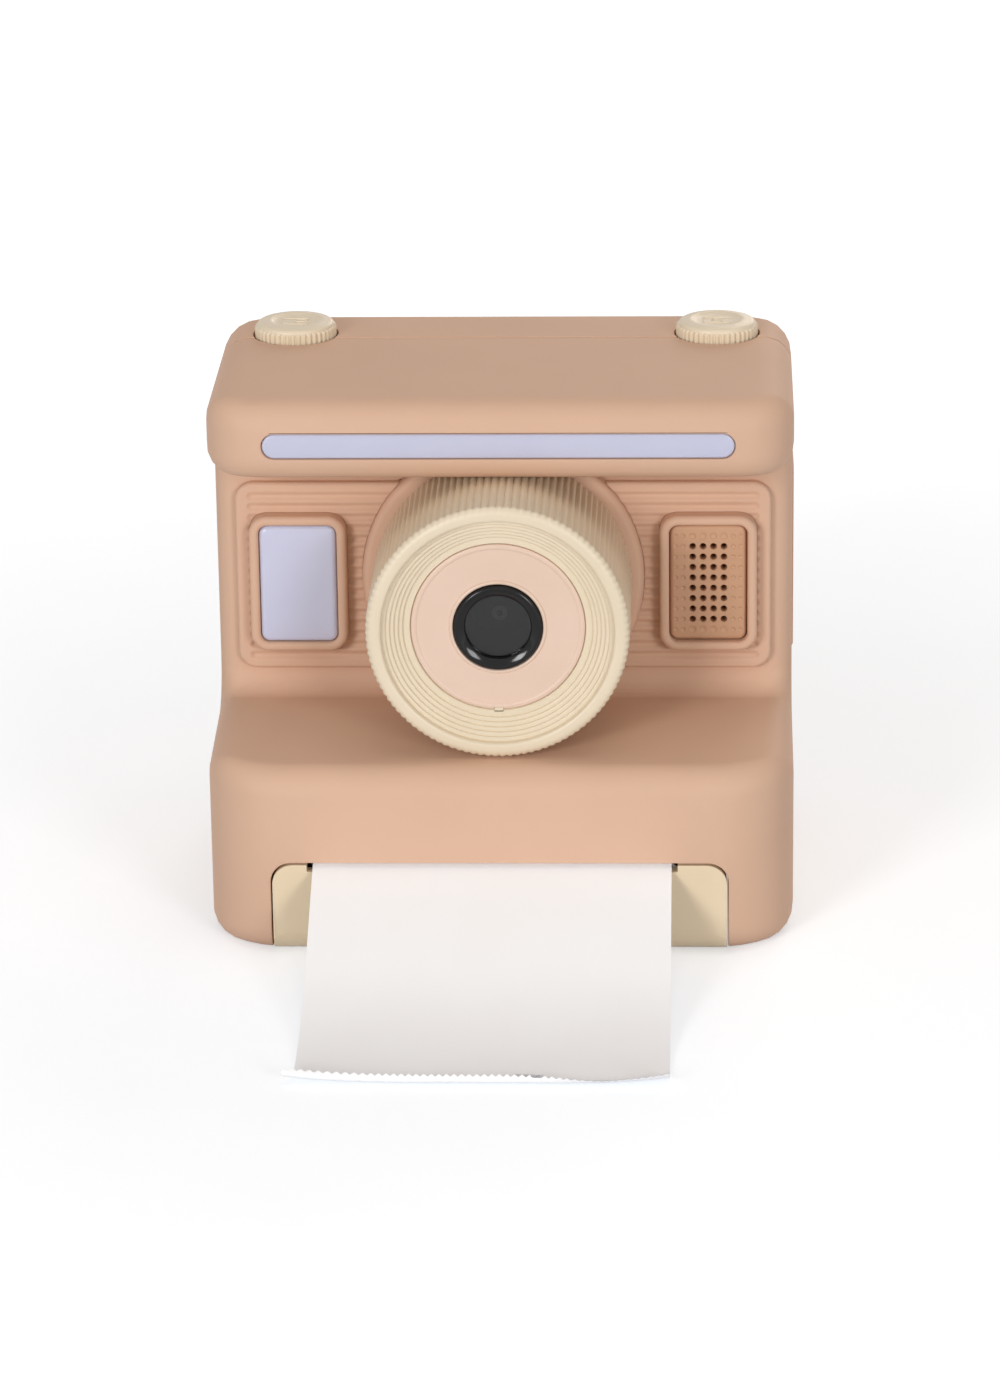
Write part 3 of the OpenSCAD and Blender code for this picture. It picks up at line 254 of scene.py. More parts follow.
# Boards: glass-fibre epoxy with green solder resist, carrying the lamps, switches and socket.
# They lie on posts and ledges of the shells. The resist is glossy, with copper tracks under it,
# drawn at 2.5 mm, which is coarser than real ones.
track_mm, track_step_mm, track_share = 2.5, 0.03, 0.35
resist, tree = new_material("green_solder_resist")
place = add(tree, "ShaderNodeTexCoord").outputs["Object"]
tracks = add(tree, "ShaderNodeTexVoronoi", {"Scale": 1 / (track_mm * MM), "distance": "CHEBYCHEV"},
             {"Vector": place})
track_tone = add(tree, "ShaderNodeValToRGB", {}, {"Fac": tracks.outputs["Distance"]})
track_tone.color_ramp.interpolation = "CONSTANT"
track_tone.color_ramp.elements[0].color = linear("#3c8159")
track_tone.color_ramp.elements[1].position = track_share
track_tone.color_ramp.elements[1].color = linear("#2c6a47")
track_step = add(tree, "ShaderNodeBump", {"Strength": 0.4, "Distance": track_step_mm * MM},
                 {"Height": tracks.outputs["Distance"]})
board = add(tree, "ShaderNodeBsdfPrincipled", {"Roughness": 0.3, "IOR": 1.5},
            {"Base Color": track_tone.outputs["Color"], "Normal": track_step.outputs[0]})
add(tree, "ShaderNodeOutputMaterial", {}, {"Surface": board.outputs[0]})
finish_cad(resist, "light_board", "flash_board", "button_board", "rear_button_board", "main_board")

# Battery: a lithium pouch in embossed aluminium foil, stuck to the back of the main board.
# The embossing breaks the shine of the foil into small glints.
foil = moulded("embossed_aluminium_foil", "#b4b8bd", "#9fa3a9", roughness=0.38,
               grain_mm=1.2, relief_mm=0.03, patch_mm=9, setup={"Metallic": 1.0})
finish_cad(foil, "battery")

# Speaker, lens tube, the ring that keeps the barrel in, and printer frame: black ABS as moulded, without
# lacquer, fixed inside the shells. Bare black mouldings have a faint blue-grey cast and a
# satin that shows the tool marks.
black_abs = moulded("black_abs_as_moulded", "#1c1c1e", "#19191b", roughness=0.42,
                    grain_mm=0.5, relief_mm=0.004, patch_mm=8, ior=1.53)
finish_cad(black_abs, "speaker_driver", "lens_tube", "lens_retainer", "printer_frame")

# Camera: a small black housing pushed into the lens tube from behind, with a coated lens in front.
# Its colour is a dark iris in a pale grey ring, a painted reflection of the coated glass,
# which shows faintly through the window.
lens_z, eye_y, eye_span = 51.2, -19.5, 2.0
# Iris, painted reflection of the coated glass and housing from the axis out: share of the span and colour
eye_colours = ((0.2, "#0c0c0d"), (0.28, "#c4c4c8"), (0.6, "#b4b4b8"), (0.7, "#1c1c1e"))
lens_with_painted_reflection, tree = new_material("lens_with_painted_reflection_in_black_abs")
place = add(tree, "ShaderNodeTexCoord").outputs["Object"]
eye_middle = (0, eye_y * MM, lens_z * MM)
off_axis = add(tree, "ShaderNodeVectorMath", {"operation": "DISTANCE", 1: eye_middle}, {0: place})
share = add(tree, "ShaderNodeMapRange", {"From Max": eye_span * MM}, {"Value": off_axis.outputs["Value"]})
coats = add(tree, "ShaderNodeValToRGB", {}, {"Fac": share.outputs[0]})
stops = coats.color_ramp.elements
stops.remove(stops[1])
stops[0].position, stops[0].color = eye_colours[0][0], linear(eye_colours[0][1])
for position, colour in eye_colours[1:]:
    stops.new(position).color = linear(colour)
glaze = add(tree, "ShaderNodeBsdfPrincipled", {"Roughness": 0.2, "IOR": 1.5},
            {"Base Color": coats.outputs["Color"]})
add(tree, "ShaderNodeOutputMaterial", {}, {"Surface": glaze.outputs[0]})
finish_cad(lens_with_painted_reflection, "camera_module")

# Screen: a liquid-crystal panel in its metal tray, taped behind the window and dark when off.
# Its pixels of 0.1 mm are drawn at 0.5 mm, as a faint grid under smooth glass.
pixel_mm = 0.5
panel_glass, tree = new_material("liquid_crystal_glass")
place = add(tree, "ShaderNodeTexCoord").outputs["Object"]
pixels = add(tree, "ShaderNodeTexVoronoi",
             {"Scale": 1 / (pixel_mm * MM), "Randomness": 0.0, "distance": "CHEBYCHEV"}, {"Vector": place})
pixel_tone = add(tree, "ShaderNodeValToRGB", {}, {"Fac": pixels.outputs["Distance"]})
pixel_tone.color_ramp.elements[0].color = linear("#1d1f22")
pixel_tone.color_ramp.elements[1].color = linear("#191b1d")
glass = add(tree, "ShaderNodeBsdfPrincipled", {"Roughness": 0.15, "IOR": 1.52},
            {"Base Color": pixel_tone.outputs["Color"]})
add(tree, "ShaderNodeOutputMaterial", {}, {"Surface": glass.outputs[0]})
finish_cad(panel_glass, "screen_module")

# Screen window: a sheet of smoked acrylic, printed black behind and glued into the rear shell.
# It is a smooth dark gloss while the screen is off.
smoked_sheet = moulded("smoked_acrylic_sheet", "#303033", "#2d2d30", roughness=0.1,
                       grain_mm=0.6, relief_mm=0.0004, patch_mm=14, ior=1.49)
finish_cad(smoked_sheet, "screen_window")

# Ribbed face panels: thin lacquered ABS plates pressed on to the face either side of the lens
# collar, with soft ribs that stop short of a plain rounded border.
panel_w, panel_h, panel_corner, panel_edge = 85.2, 31.2, 3.0, 0.65
panel_front, face_y = -1.9, -0.5
rib_pitch, rib_depth, rib_border = 1.78, 0.42, 1.7
collar_r = 22.55
frame_x, frame_z, frame_w, frame_h, frame_corner = 32.6, 50.6, 15.5, 22.6, 3.0
hole_play, hole_span = 0.1, (-4, 2)
same_point_mm = 0.0001


def skin(name, loops, endless=False):
    """Mesh over closed loops of points in mm, with its ends closed, or joined to each other if endless."""
    count = len(loops[0])
    steps = len(loops) if endless else len(loops) - 1
    faces = []
    for a in range(steps):
        b = (a + 1) % len(loops)
        for i in range(count):
            j = (i + 1) % count
            faces.append((a * count + i, a * count + j, b * count + j, b * count + i))
    if not endless:
        last = (len(loops) - 1) * count
        faces.append(tuple(range(count - 1, -1, -1)))
        faces.append(tuple(last + i for i in range(count)))
    mesh = bpy.data.meshes.new(name)
    mesh.from_pydata([Vector(p) * MM for loop in loops for p in loop], [], faces)
    work = bmesh.new()
    work.from_mesh(mesh)
    bmesh.ops.remove_doubles(work, verts=work.verts, dist=same_point_mm * MM)
    bmesh.ops.recalc_face_normals(work, faces=work.faces)
    work.to_mesh(mesh)
    work.free()
    made = bpy.data.objects.new(name, mesh)
    bpy.context.scene.collection.objects.link(made)
    return made


def settle(made, body, slot, material, *stands_for, crease_deg=32):
    """Shades a piece, gives it its finish and sets it on its body in place of its plain solid."""
    made.data.materials.clear()
    made.data.materials.append(material)
    made.data.shade_smooth()
    made.data.set_sharp_from_angle(angle=radians(crease_deg))
    true_flats(made)
    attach(made, body)
    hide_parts(*stands_for)


def bored(made, cutter):
    """Cuts another mesh out of a piece and removes it."""
    cut = made.modifiers.new("cut", "BOOLEAN")
    cut.operation, cut.object, cut.solver = "DIFFERENCE", cutter, "EXACT"
    bpy.context.view_layer.update()
    mesh = bpy.data.meshes.new_from_object(made.evaluated_get(bpy.context.evaluated_depsgraph_get()))
    made.modifiers.clear()
    made.data = mesh
    bpy.data.objects.remove(cutter)
    return made


def rounded_loop(w, h, corner, inset=0):
    """Points (across, up) of a rounded rectangle, drawn in from its outline."""
    steps, least_r = 8, 0.02
    r = max(corner - inset, least_r)
    loop = []
    for k, (sx, sz) in enumerate(((1, 1), (-1, 1), (-1, -1), (1, -1))):
        for i in range(steps + 1):
            a = pi / 2 * (k + i / steps)
            loop.append((sx * (w / 2 - inset - r) + r * cos(a), sz * (h / 2 - inset - r) + r * sin(a)))
    return loop


def quarter_fall(distance, radius):
    """Drop of a rounded edge at a distance in from the edge."""
    short = max(radius - distance, 0)
    return radius - sqrt(radius * radius - short * short)


def panel_loops(side):
    """Loops of a panel, one above the other: across its ribbed front and back along the face."""
    edge_shares = (0, 0.03, 0.1, 0.2, 0.35, 0.55, 0.8, 1)
    rib_end_step, rib_end_steps, plain_steps, rows_per_rib = 0.12, 21, 6, 12
    edge_steps = [panel_edge * share for share in edge_shares]
    end_steps = edge_steps + [panel_edge + rib_end_step * i for i in range(1, rib_end_steps + 1)]
    top = panel_h / 2
    middle = 2 * top - 2 * panel_edge
    middle_rows = int(middle / (rib_pitch / rows_per_rib))
    ups = [s - top for s in edge_steps[:-1]]
    ups += [panel_edge - top + middle * i / middle_rows for i in range(middle_rows + 1)]
    ups += [top - s for s in reversed(edge_steps[:-1])]
    groove_end = panel_w / 2 - rib_border - rib_pitch / 2
    top_groove = int((top - rib_border) / rib_pitch - 0.5) + 0.5
    loops = []
    for up in ups:
        past = max(abs(up) - top + panel_corner, 0)
        outer = panel_w / 2 - panel_corner + sqrt(max(panel_corner ** 2 - past ** 2, 0))
        inner = sqrt(collar_r ** 2 - up ** 2)
        across = [outer - s for s in end_steps]
        across += [across[-1] + (inner - across[-1]) * i / plain_steps for i in range(1, plain_steps + 1)]
        groove = max(-top_groove, min(top_groove, round(up / rib_pitch - 0.5) + 0.5)) * rib_pitch
        front = []
        for x in across:
            corner_x = max(x - panel_w / 2 + panel_corner, 0)
            if corner_x > 0 and past > 0:
                inward = panel_corner - sqrt(corner_x ** 2 + past ** 2)
            else:
                inward = min(panel_w / 2 - x, top - abs(up))
            away = sqrt(max(x - groove_end, 0) ** 2 + (up - groove) ** 2)
            dip = rib_depth * cos(pi / 2 * min(away / (rib_pitch / 2), 1)) ** 2
            y = panel_front + dip + quarter_fall(max(inward, 0), panel_edge)
            front.append((side * x, y, lens_z + up))
        back = [(side * across[-1], face_y, lens_z + up), (side * outer, face_y, lens_z + up)]
        loops.append(front + back)
    return loops


for side, name in ((-1, "left_panel"), (1, "right_panel")):
    panel = skin(name + "_ribbed", panel_loops(side))
    hole = rounded_loop(frame_w + hole_play, frame_h + hole_play, frame_corner)
    bored(panel, skin("frame_hole", [[(side * frame_x + x, y, frame_z + z) for x, z in hole]
                                     for y in hole_span]))
    settle(panel, "casing", "peach_plastic", soft_touch, name)

# Light strip: a bar of milky lilac polycarbonate, snapped into the hood from inside.
# Light scatters inside the plastic, so that its edges glow a little and its glints are soft.
milky = {"Subsurface Weight": 0.25, "Subsurface Radius": (0.6, 0.6, 0.8), "Subsurface Scale": MM}
lilac = moulded("milky_lilac_polycarbonate", "#c6c7dc", "#c3c4da", roughness=0.3,
                grain_mm=0.5, relief_mm=0.002, patch_mm=14, ior=1.58, setup=milky)
strip_w, strip_h, strip_z = 73.5, 4.0, 77.7
strip_front, strip_lip_y, strip_back = -17.7, -15.3, -14.3
strip_edge, strip_crown, strip_lip = 0.45, 0.08, 1.2


def quarter(steps):
    """Angles through a quarter turn in equal steps."""
    return [pi / 2 * i / steps for i in range(steps + 1)]


def pillow(w, h, corner, front, back, edge, crown, centre):
    """Loops of a plate that faces -Y, from its back to a rounded, slightly crowned front."""
    edge_steps, crown_steps, middle_gap = 6, 5, 0.05
    stations = [(0, back)]
    stations += [(edge * (1 - cos(a)), front + edge * (1 - sin(a))) for a in quarter(edge_steps)]
    reach = min(w, h) / 2 - edge - middle_gap
    for i in range(1, crown_steps + 1):
        t = i / crown_steps
        stations.append((edge + reach * t, front - crown * (1 - (1 - t) ** 2)))
    return [[(centre[0] + x, y, centre[1] + z) for x, z in rounded_loop(w, h, corner, inset)]
            for inset, y in stations]


bar = pillow(strip_w, strip_h, strip_h / 2, strip_front, strip_lip_y, strip_edge, strip_crown,
             (0, strip_z))
lip = [[(x, y, z + strip_z) for x, z in rounded_loop(strip_w, strip_h, strip_h / 2, inset)]
       for inset, y in ((-strip_lip, strip_back), (-strip_lip, strip_lip_y))]
settle(skin("light_bar", lip + bar), "casing", "lilac_diffuser", lilac, "light_strip")

# Flash and speaker frames: lacquered rims that stand on the face through the panels,
# fully rounded outside and eased inside, glued round the two windows.
frame_front, frame_rim = -4.5, 1.55
rim_outer, rim_inner = 0.8, 0.6


def frame_loops(centre_x):
    """Loops of a rim, from the face over its rounded edges and back inside it."""
    outer_steps, inner_steps = 8, 5
    stations = [(0, face_y)]
    stations += [(rim_outer * (1 - cos(a)), frame_front + rim_outer * (1 - sin(a)))
                 for a in quarter(outer_steps)]
    stations += [(frame_rim - rim_inner * (1 - sin(a)), frame_front + rim_inner * (1 - cos(a)))
                 for a in quarter(inner_steps)]
    stations.append((frame_rim, face_y))
    return [[(centre_x + x, y, frame_z + z)
             for x, z in rounded_loop(frame_w, frame_h, frame_corner, inset)] for inset, y in stations]


for side, name in ((-1, "flash_bezel"), (1, "speaker_bezel")):
    rim = skin(name + "_rim", frame_loops(side * frame_x), endless=True)
    settle(rim, "casing", "peach_plastic", soft_touch, name)

# Flash window: a crowned lens of clear lilac polycarbonate, glued in flush with its rim, that spreads
# the light of the flash. It is clearer than the light strip and has a sharper glint down its crown.
window_play, mouth_corner = 0.1, 1.4
mouth_w, mouth_h = frame_w - 2 * frame_rim - window_play, frame_h - 2 * frame_rim - window_play
window_front, window_edge, window_crown = -4.25, 0.9, 0.15
window = pillow(mouth_w, mouth_h, mouth_corner, window_front, face_y, window_edge, window_crown,
                (-frame_x, frame_z))
pale_lilac = moulded("clear_lilac_polycarbonate", "#ced0e6", "#cbcde4", roughness=0.22,
                     grain_mm=0.5, relief_mm=0.002, patch_mm=14, ior=1.58, setup=milky)
settle(skin("flash_lens", window), "casing", "lilac_diffuser", pale_lilac, "flash_window")

# Speaker plate: a thin crowned plate of ABS in a deeper tan, set back in its rim and pierced by four
# columns of holes, with small blind dimples round them. Its lacquer is glossier than that of the casing.
tan_lacquer = moulded("tan_lacquer_on_abs", "#c89c7b", "#c49877", roughness=0.42,
                      grain_mm=0.6, relief_mm=0.005, patch_mm=12, ior=1.5)
plate_front, plate_edge, plate_crown, plate_play = -3.5, 0.75, 0.1, 0.1
hole_rows, hole_columns, hole_pitch, hole_rise = 10, (-1.5, -0.5, 0.5, 1.5), 1.65, 1.74
hole_r, hole_depth = 0.5, 6
dimple_columns, dimple_r, dimple_depth = (3.97, 5.15), 0.3, 0.12
# Eased rim of a pocket: growth of its radius, and depth behind the crown of the plate
pocket_rim = ((0.25, -0.4), (0.12, 0), (0, 0.14))
pocket_sides, pocket_tip, pocket_tip_drop = 16, 0.4, 0.08
plate = skin("speaker_plate", pillow(mouth_w - plate_play, mouth_h - plate_play, mouth_corner, plate_front,
                                     face_y, plate_edge, plate_crown, (frame_x, frame_z)))


def pocket(across, up, radius, depth):
    """A round cutter with an eased rim, to a depth in the plate."""
    front = plate_front - plate_crown
    rows = [(radius + growth, front + deep) for growth, deep in pocket_rim]
    rows += [(radius, front + depth), (radius * pocket_tip, front + depth + pocket_tip_drop)]
    turns = [2 * pi * i / pocket_sides for i in range(pocket_sides)]
    return skin("pocket", [[(frame_x + across + r * cos(a), y, frame_z + up + r * sin(a)) for a in turns]
                           for r, y in rows])


def one_piece(made, *others):
    """Joins other meshes to a piece."""
    with bpy.context.temp_override(active_object=made, selected_editable_objects=[made, *others]):
        bpy.ops.object.join()
    return made


pockets = []
for row in range(hole_rows):
    up = (row - (hole_rows - 1) / 2) * hole_rise
    blind = row in (0, hole_rows - 1)
    for column in hole_columns:
        pockets.append(pocket(column * hole_pitch, up, hole_r, dimple_depth if blind else hole_depth))
    for column in dimple_columns:
        pockets += [pocket(side * column, up, dimple_r, dimple_depth) for side in (-1, 1)]
settle(bored(plate, one_piece(*pockets)), "casing", "peach_plastic", tan_lacquer, "speaker_grille")

# Lens barrel: cream ABS, turned by hand in its collar. Fine ribs run along it to a rounded rim,
# and a funnel of narrow steps leads in to the disc, which a small lug keeps from turning.
# The satin plastic shows each rib and step as a soft line of light.
cream = moulded("cream_abs_satin", "#e5d5bb", "#e2d2b7", roughness=0.4,
                grain_mm=0.5, relief_mm=0.003, patch_mm=16, ior=1.53)
barrel_r, rib_h, barrel_ribs, points_per_rib = 20.1, 0.42, 110, 6
lens_y, barrel_back, barrel_ease, barrel_floor = -30.0, -3.8, 0.2, 2
rim_round, lip_r, lip_wave = 1.1, 20.3, 0.2
ribs_back, ribs_front, rib_rows = barrel_back - 0.5, lens_y + rim_round + 0.7, 6
# Ends of the ribs under the lip: radius, place in front of the ribs and height that is left
rib_ends = ((barrel_r + 0.15, 0.2, 0.25), (lip_r - 0.04, 0.4, 0.22), (lip_r, 0.6, lip_wave))
mouth_r, disc_r, web_bore_r = 18.1, 13.6, 7.3
# Inner edge of the rim: growth of the mouth's radius, and depth behind the rim
rim_edge = ((0.5, 0), (0.2, 0.08), (0.05, 0.25), (0, 0.5), (-0.06, 1.1))
step_count, step_w, step_drop, nose = 5, 0.66, 0.44, 0.3
disc_y, disc_front, web_y = -25.8, -26.6, -24.4
seat_growth, seat_ease = 0.15, 0.1
spigot_r, spigot_wall, spigot_back, barrel_wall = 19.0, 1.4, 3.0, 2.1
lug_w, lug_r, lug_root, lug_front = 1.4, 13.22, 13.9, -26.7


def turned(profile, segments, place, ribs=0):
    """Loops of a turned piece. A row of its profile is radius, place along the axis and height of ribs."""
    rib_fullness = 0.7
    loops = []
    for radius, along, rib in profile:
        loop = []
        for i in range(segments):
            a = 2 * pi * i / segments
            wave = (0.5 + 0.5 * cos(ribs * a)) ** rib_fullness if ribs and rib else 0
            r = radius + rib * wave
            loop.append(place(r * cos(a), r * sin(a), along))
        loops.append(loop)
    return loops


def on_lens_axis(across, up, along):
    """Places a point by its distances from the lens axis and along it."""
    return (across, along, lens_z + up)


outside = [(spigot_r, barrel_back, 0), (barrel_r - barrel_ease, barrel_back, 0),
           (barrel_r, barrel_back - barrel_ease, 0)]
outside += [(barrel_r, ribs_back + (ribs_front - ribs_back) * i / rib_rows, rib_h)
            for i in range(rib_rows + 1)]
outside += [(radius, ribs_front - past, rib) for radius, past, rib in rib_ends]
outside += [(lip_r - rim_round * (1 - cos(a)), lens_y + rim_round * (1 - sin(a)), lip_wave * cos(a))
            for a in quarter(9)[1:]]
funnel = [(mouth_r + growth, lens_y + deep, 0) for growth, deep in rim_edge]
wall_r, wall_y = funnel[-1][:2]
for k in range(step_count):
    r0, y0 = wall_r - (k + 1) * step_w, wall_y + k * step_drop
    funnel += [(r0 + nose * (1 - sin(a)), y0 + nose * (1 - cos(a)), 0) for a in quarter(4)]
    funnel.append((r0, y0 + step_drop, 0))
funnel += [(disc_r + seat_growth, disc_front - seat_ease, 0), (disc_r, disc_front + seat_ease, 0),
           (disc_r, disc_y, 0), (web_bore_r, disc_y, 0), (web_bore_r, web_y, 0)]
barrel_in, spigot_in, floor_y = barrel_r - barrel_wall, spigot_r - spigot_wall, barrel_back - barrel_floor
inside = [(barrel_in, web_y, 0), (barrel_in, floor_y, 0), (spigot_in, floor_y, 0),
          (spigot_in, spigot_back, 0), (spigot_r, spigot_back, 0)]
barrel_loops = turned(outside + funnel + inside, barrel_ribs * points_per_rib, on_lens_axis, barrel_ribs)
barrel = skin("lens_barrel_ribbed", barrel_loops, endless=True)


def lug(front, back, play=0):
    """The lug at the foot of the funnel, or with play the notch for it in the disc."""
    half, top, low = lug_w / 2 + play, lens_z - lug_r + play, lens_z - lug_root
    corners = ((-half, top), (half, top), (half, low), (-half, low))
    return skin("lug", [[(x, y, z) for x, z in corners] for y in (front, back)])


one_piece(barrel, lug(lug_front, disc_y))
settle(barrel, "lens_barrel", "cream_plastic", cream, "lens_ring", crease_deg=50)

# Lens disc: a blush ABS ring laid in the funnel, with a raised bead at its outer edge and
# round the window. The bare face is a fine satin.
blush = moulded("blush_abs_satin", "#e3c7b4", "#e0c4b0", roughness=0.42,
                grain_mm=0.5, relief_mm=0.003, patch_mm=12, ior=1.53)
ring_r, bore_play, disc_edge_r = 6.92, 0.1, 13.55
bore_r = ring_r + bore_play
# Beads round the bore and at the edge: distance from there across the disc, and rise over its face
bore_bead = ((0, 0.1), (0.1, 0.25), (0.3, 0.3), (0.5, 0.22), (0.65, 0))
edge_bead = ((0.95, 0), (0.8, 0.12), (0.55, 0.2), (0.25, 0.17), (0.05, 0.02), (0, -0.2))
notch_play, notch_over, lens_segments = 0.06, 1, 160
disc = [(bore_r, disc_y, 0)]
disc += [(bore_r + across, disc_front - rise, 0) for across, rise in bore_bead]
disc += [(disc_edge_r - across, disc_front - rise, 0) for across, rise in edge_bead]
disc.append((disc_edge_r, disc_y, 0))
disc_face = skin("lens_disc_face", turned(disc, lens_segments, on_lens_axis), endless=True)
bored(disc_face, lug(disc_front - notch_over, disc_y + notch_over, notch_play))
settle(disc_face, "lens_barrel", "blush_plastic", blush, "lens_disc")

# Window ring: high-gloss black ABS, pressed on to the fixed tube, with a rolled lip and a
# dished inner slope that mirror the soft boxes.
gloss_black = moulded("black_abs_polished", "#0e0e0f", "#0c0c0d", roughness=0.12,
                      grain_mm=0.6, relief_mm=0.0006, patch_mm=10, ior=1.5,
                      setup={"Specular IOR Level": 0.3})
tube_r, tube_front, tube_play, ring_lap, glass_t = 6.55, -25.0, 0.05, 1.6, 1.0
glass_front, ring_back, sleeve_r = tube_front - glass_t, tube_front + ring_lap, tube_r + tube_play
# Slope, lip and outside of the ring: radius, and rise in front of the window
ring_face = ((5.15, 0), (5.1, 0.3), (5.15, 0.7), (5.28, 0.85), (5.5, 0.98), (5.9, 1.16), (6.2, 1.28),
             (6.4, 1.32), (6.6, 1.28), (6.78, 1.13), (6.89, 0.9), (ring_r, 0.6))
ring = [(sleeve_r, ring_back, 0), (sleeve_r, glass_front, 0)]
ring += [(radius, glass_front - rise, 0) for radius, rise in ring_face]
ring.append((ring_r, ring_back, 0))
settle(skin("window_ring", turned(ring, lens_segments, on_lens_axis), endless=True),
       "casing", "black_plastic", gloss_black, "lens_bezel", crease_deg=60)

# Lens window: a smoked acrylic disc behind the ring, polished on both faces, through which
# the camera's own small lens just shows. Dust leaves a faint haze in its gloss.
dust_mm = 0.9  # coarser than real dust, so that it shows
smoked, tree = new_material("smoked_acrylic")
place = add(tree, "ShaderNodeTexCoord").outputs["Object"]
dust = add(tree, "ShaderNodeTexNoise", {"Scale": 1 / (dust_mm * MM), "Detail": 5}, {"Vector": place})
haze = add(tree, "ShaderNodeMapRange", {"To Min": 0.04, "To Max": 0.12}, {"Value": dust.outputs["Fac"]})
pane = add(tree, "ShaderNodeBsdfPrincipled",
           {"Base Color": linear("#77777a"), "Transmission Weight": 1.0, "IOR": 1.49},
           {"Roughness": haze.outputs[0]})
add(tree, "ShaderNodeOutputMaterial", {}, {"Surface": pane.outputs[0]})
finish_cad(smoked, "lens_window")

# Top buttons: cream ABS drums, ribbed round the side, with a plain symbol raised in a shallow dish.
# Each slides in its hole on to a switch, held by a flange under the casing.
button_r, knurl_h, button_ribs, points_per_knurl = 6.6, 0.38, 44, 8
core_r = button_r - knurl_h
button_x, button_y = 34.0, 22.3
stem_r, stem_low, flange_r, flange_low, flange_top = 1.8, 77.6, 7.8, 80.6, 82.2
knurl_low, middle_r = flange_top + 0.1, 0.02
shoulder_z, shoulder_w, shoulder_h = 86.0, 0.75, 0.62
# Upper ends of the ribs: distance under the shoulder, and share of their height
knurl_ends = ((1.4, 1), (0.4, 1), (0.25, 0.92), (0.13, 0.7), (0.05, 0.35), (0, 0))
# Top and its dish: radius, and rise over the shoulder
dish = ((5.0, 0.72), (4.5, 0.79), (4.25, 0.8), (4.0, 0.77), (3.8, 0.69), (3.6, 0.6), (3.4, 0.54),
        (3.1, 0.5), (2.4, 0.46), (1.2, 0.44), (middle_r, 0.44))
drum = [(middle_r, stem_low, 0), (stem_r, stem_low, 0), (stem_r, flange_low, 0), (flange_r, flange_low, 0),
        (flange_r, flange_top, 0), (core_r, flange_top, 0), (core_r, knurl_low, knurl_h)]
drum += [(core_r, shoulder_z - under, share * knurl_h) for under, share in knurl_ends]
drum += [(core_r - shoulder_w * (1 - cos(a)), shoulder_z + shoulder_h * sin(a), 0) for a in quarter(7)[1:]]
drum += [(radius, shoulder_z + rise, 0) for radius, rise in dish]
symbol_line, symbol_ease, symbol_top, symbol_foot = 0.3, 0.06, 86.57, 86.3
symbol_edges = ((0, symbol_foot), (symbol_ease, symbol_top), (symbol_line - symbol_ease, symbol_top),
                (symbol_line, symbol_foot))
# Outlines of a camera and of a picture in its frame: across, up, width, height, corner
symbols = {"shutter_button": ((0, 0, 4.8, 3.4, 0.7), (0, 0, 1.9, 1.9, 0.95)),
           "playback_button": ((0, 0, 4.8, 3.6, 0.9), (0.9, 0.3, 2.2, 1.5, 0.7))}


def on_button_axis(side):
    """Places points by their distances from the axis of the button on one side, and by height."""
    return lambda across, up, along: (side * button_x + across, button_y + up, along)


for side, body, name in ((1, "shutter", "shutter_button"), (-1, "playback", "playback_button")):
    place = on_button_axis(side)
    knob = skin(name + "_drum", turned(drum, button_ribs * points_per_knurl, place, button_ribs))
    lines = []
    for across, up, w, h, corner in symbols[name]:
        loops = [[place(across + x, up + y, z) for x, y in rounded_loop(w, h, corner, inset)]
                 for inset, z in symbol_edges]
        lines.append(skin("symbol", loops, endless=True))
    settle(one_piece(knob, *lines), body, "cream_plastic", cream, name, crease_deg=45)

# Rear buttons: small cream ABS caps with a dished face, in a row under the screen. Each is held by a
# flange behind the rear shell, and has the same satin as the barrel.
finish_cad(cream, "menu_button", "left_button", "ok_button", "right_button", "power_button")

# Port cover: a flap of the casing's colour in soft thermoplastic rubber, over the charging socket.
# It swings open about its lower edge. Rubber is duller than the lacquer round it.
flap_rubber = moulded("thermoplastic_rubber", "#d6ab90", "#d2a78c", roughness=0.7,
                      grain_mm=0.4, relief_mm=0.004, patch_mm=12, ior=1.5)
finish_cad(flap_rubber, "port_cover")

# Printer: acetal gears, a ground silicone roller and a ceramic-faced steel print head.
# Acetal is waxy and white. The roller is a matt charcoal with a fine grinding texture, and the
# rolled steel of the head, its spring and the tear bar has a bright, even sheen.
acetal = moulded("white_acetal", "#efece4", "#e9e6dd", roughness=0.35,
                 grain_mm=0.5, relief_mm=0.002, patch_mm=6, ior=1.48)
finish_cad(acetal, "motor_pinion", "idler_gear", "platen_gear")
roller_rubber = moulded("ground_silicone_rubber", "#3c3c3e", "#353537", roughness=0.75,
                        grain_mm=0.3, relief_mm=0.01, patch_mm=5, ior=1.41)
finish_cad(roller_rubber, "platen_roller")
spring_steel = moulded("rolled_stainless_steel", "#c8cacd", "#bcbfc3", roughness=0.25,
                       grain_mm=0.3, relief_mm=0.001, patch_mm=6, setup={"Metallic": 1.0})
finish_cad(spring_steel, "print_head", "head_spring", "tear_bar")

# Paper door: the cream ABS flap across the foot of the front, hinged under the camera, whose upper
# edge is the lower lip of the paper slot. Grain from a spark-eroded mould dulls its gloss a little. Its
# cream is painted warmer and deeper than the barrel's: painted shade and painted warm bounce light from the
# casing.
spark_cream_painted_bounce = moulded("cream_abs_spark_grain_painted_bounce", "#ebd6b6", "#e8d2b1", roughness=0.45,
                      grain_mm=0.5, relief_mm=0.004, patch_mm=16, ior=1.53)
finish_cad(spark_cream_painted_bounce, "paper_door")
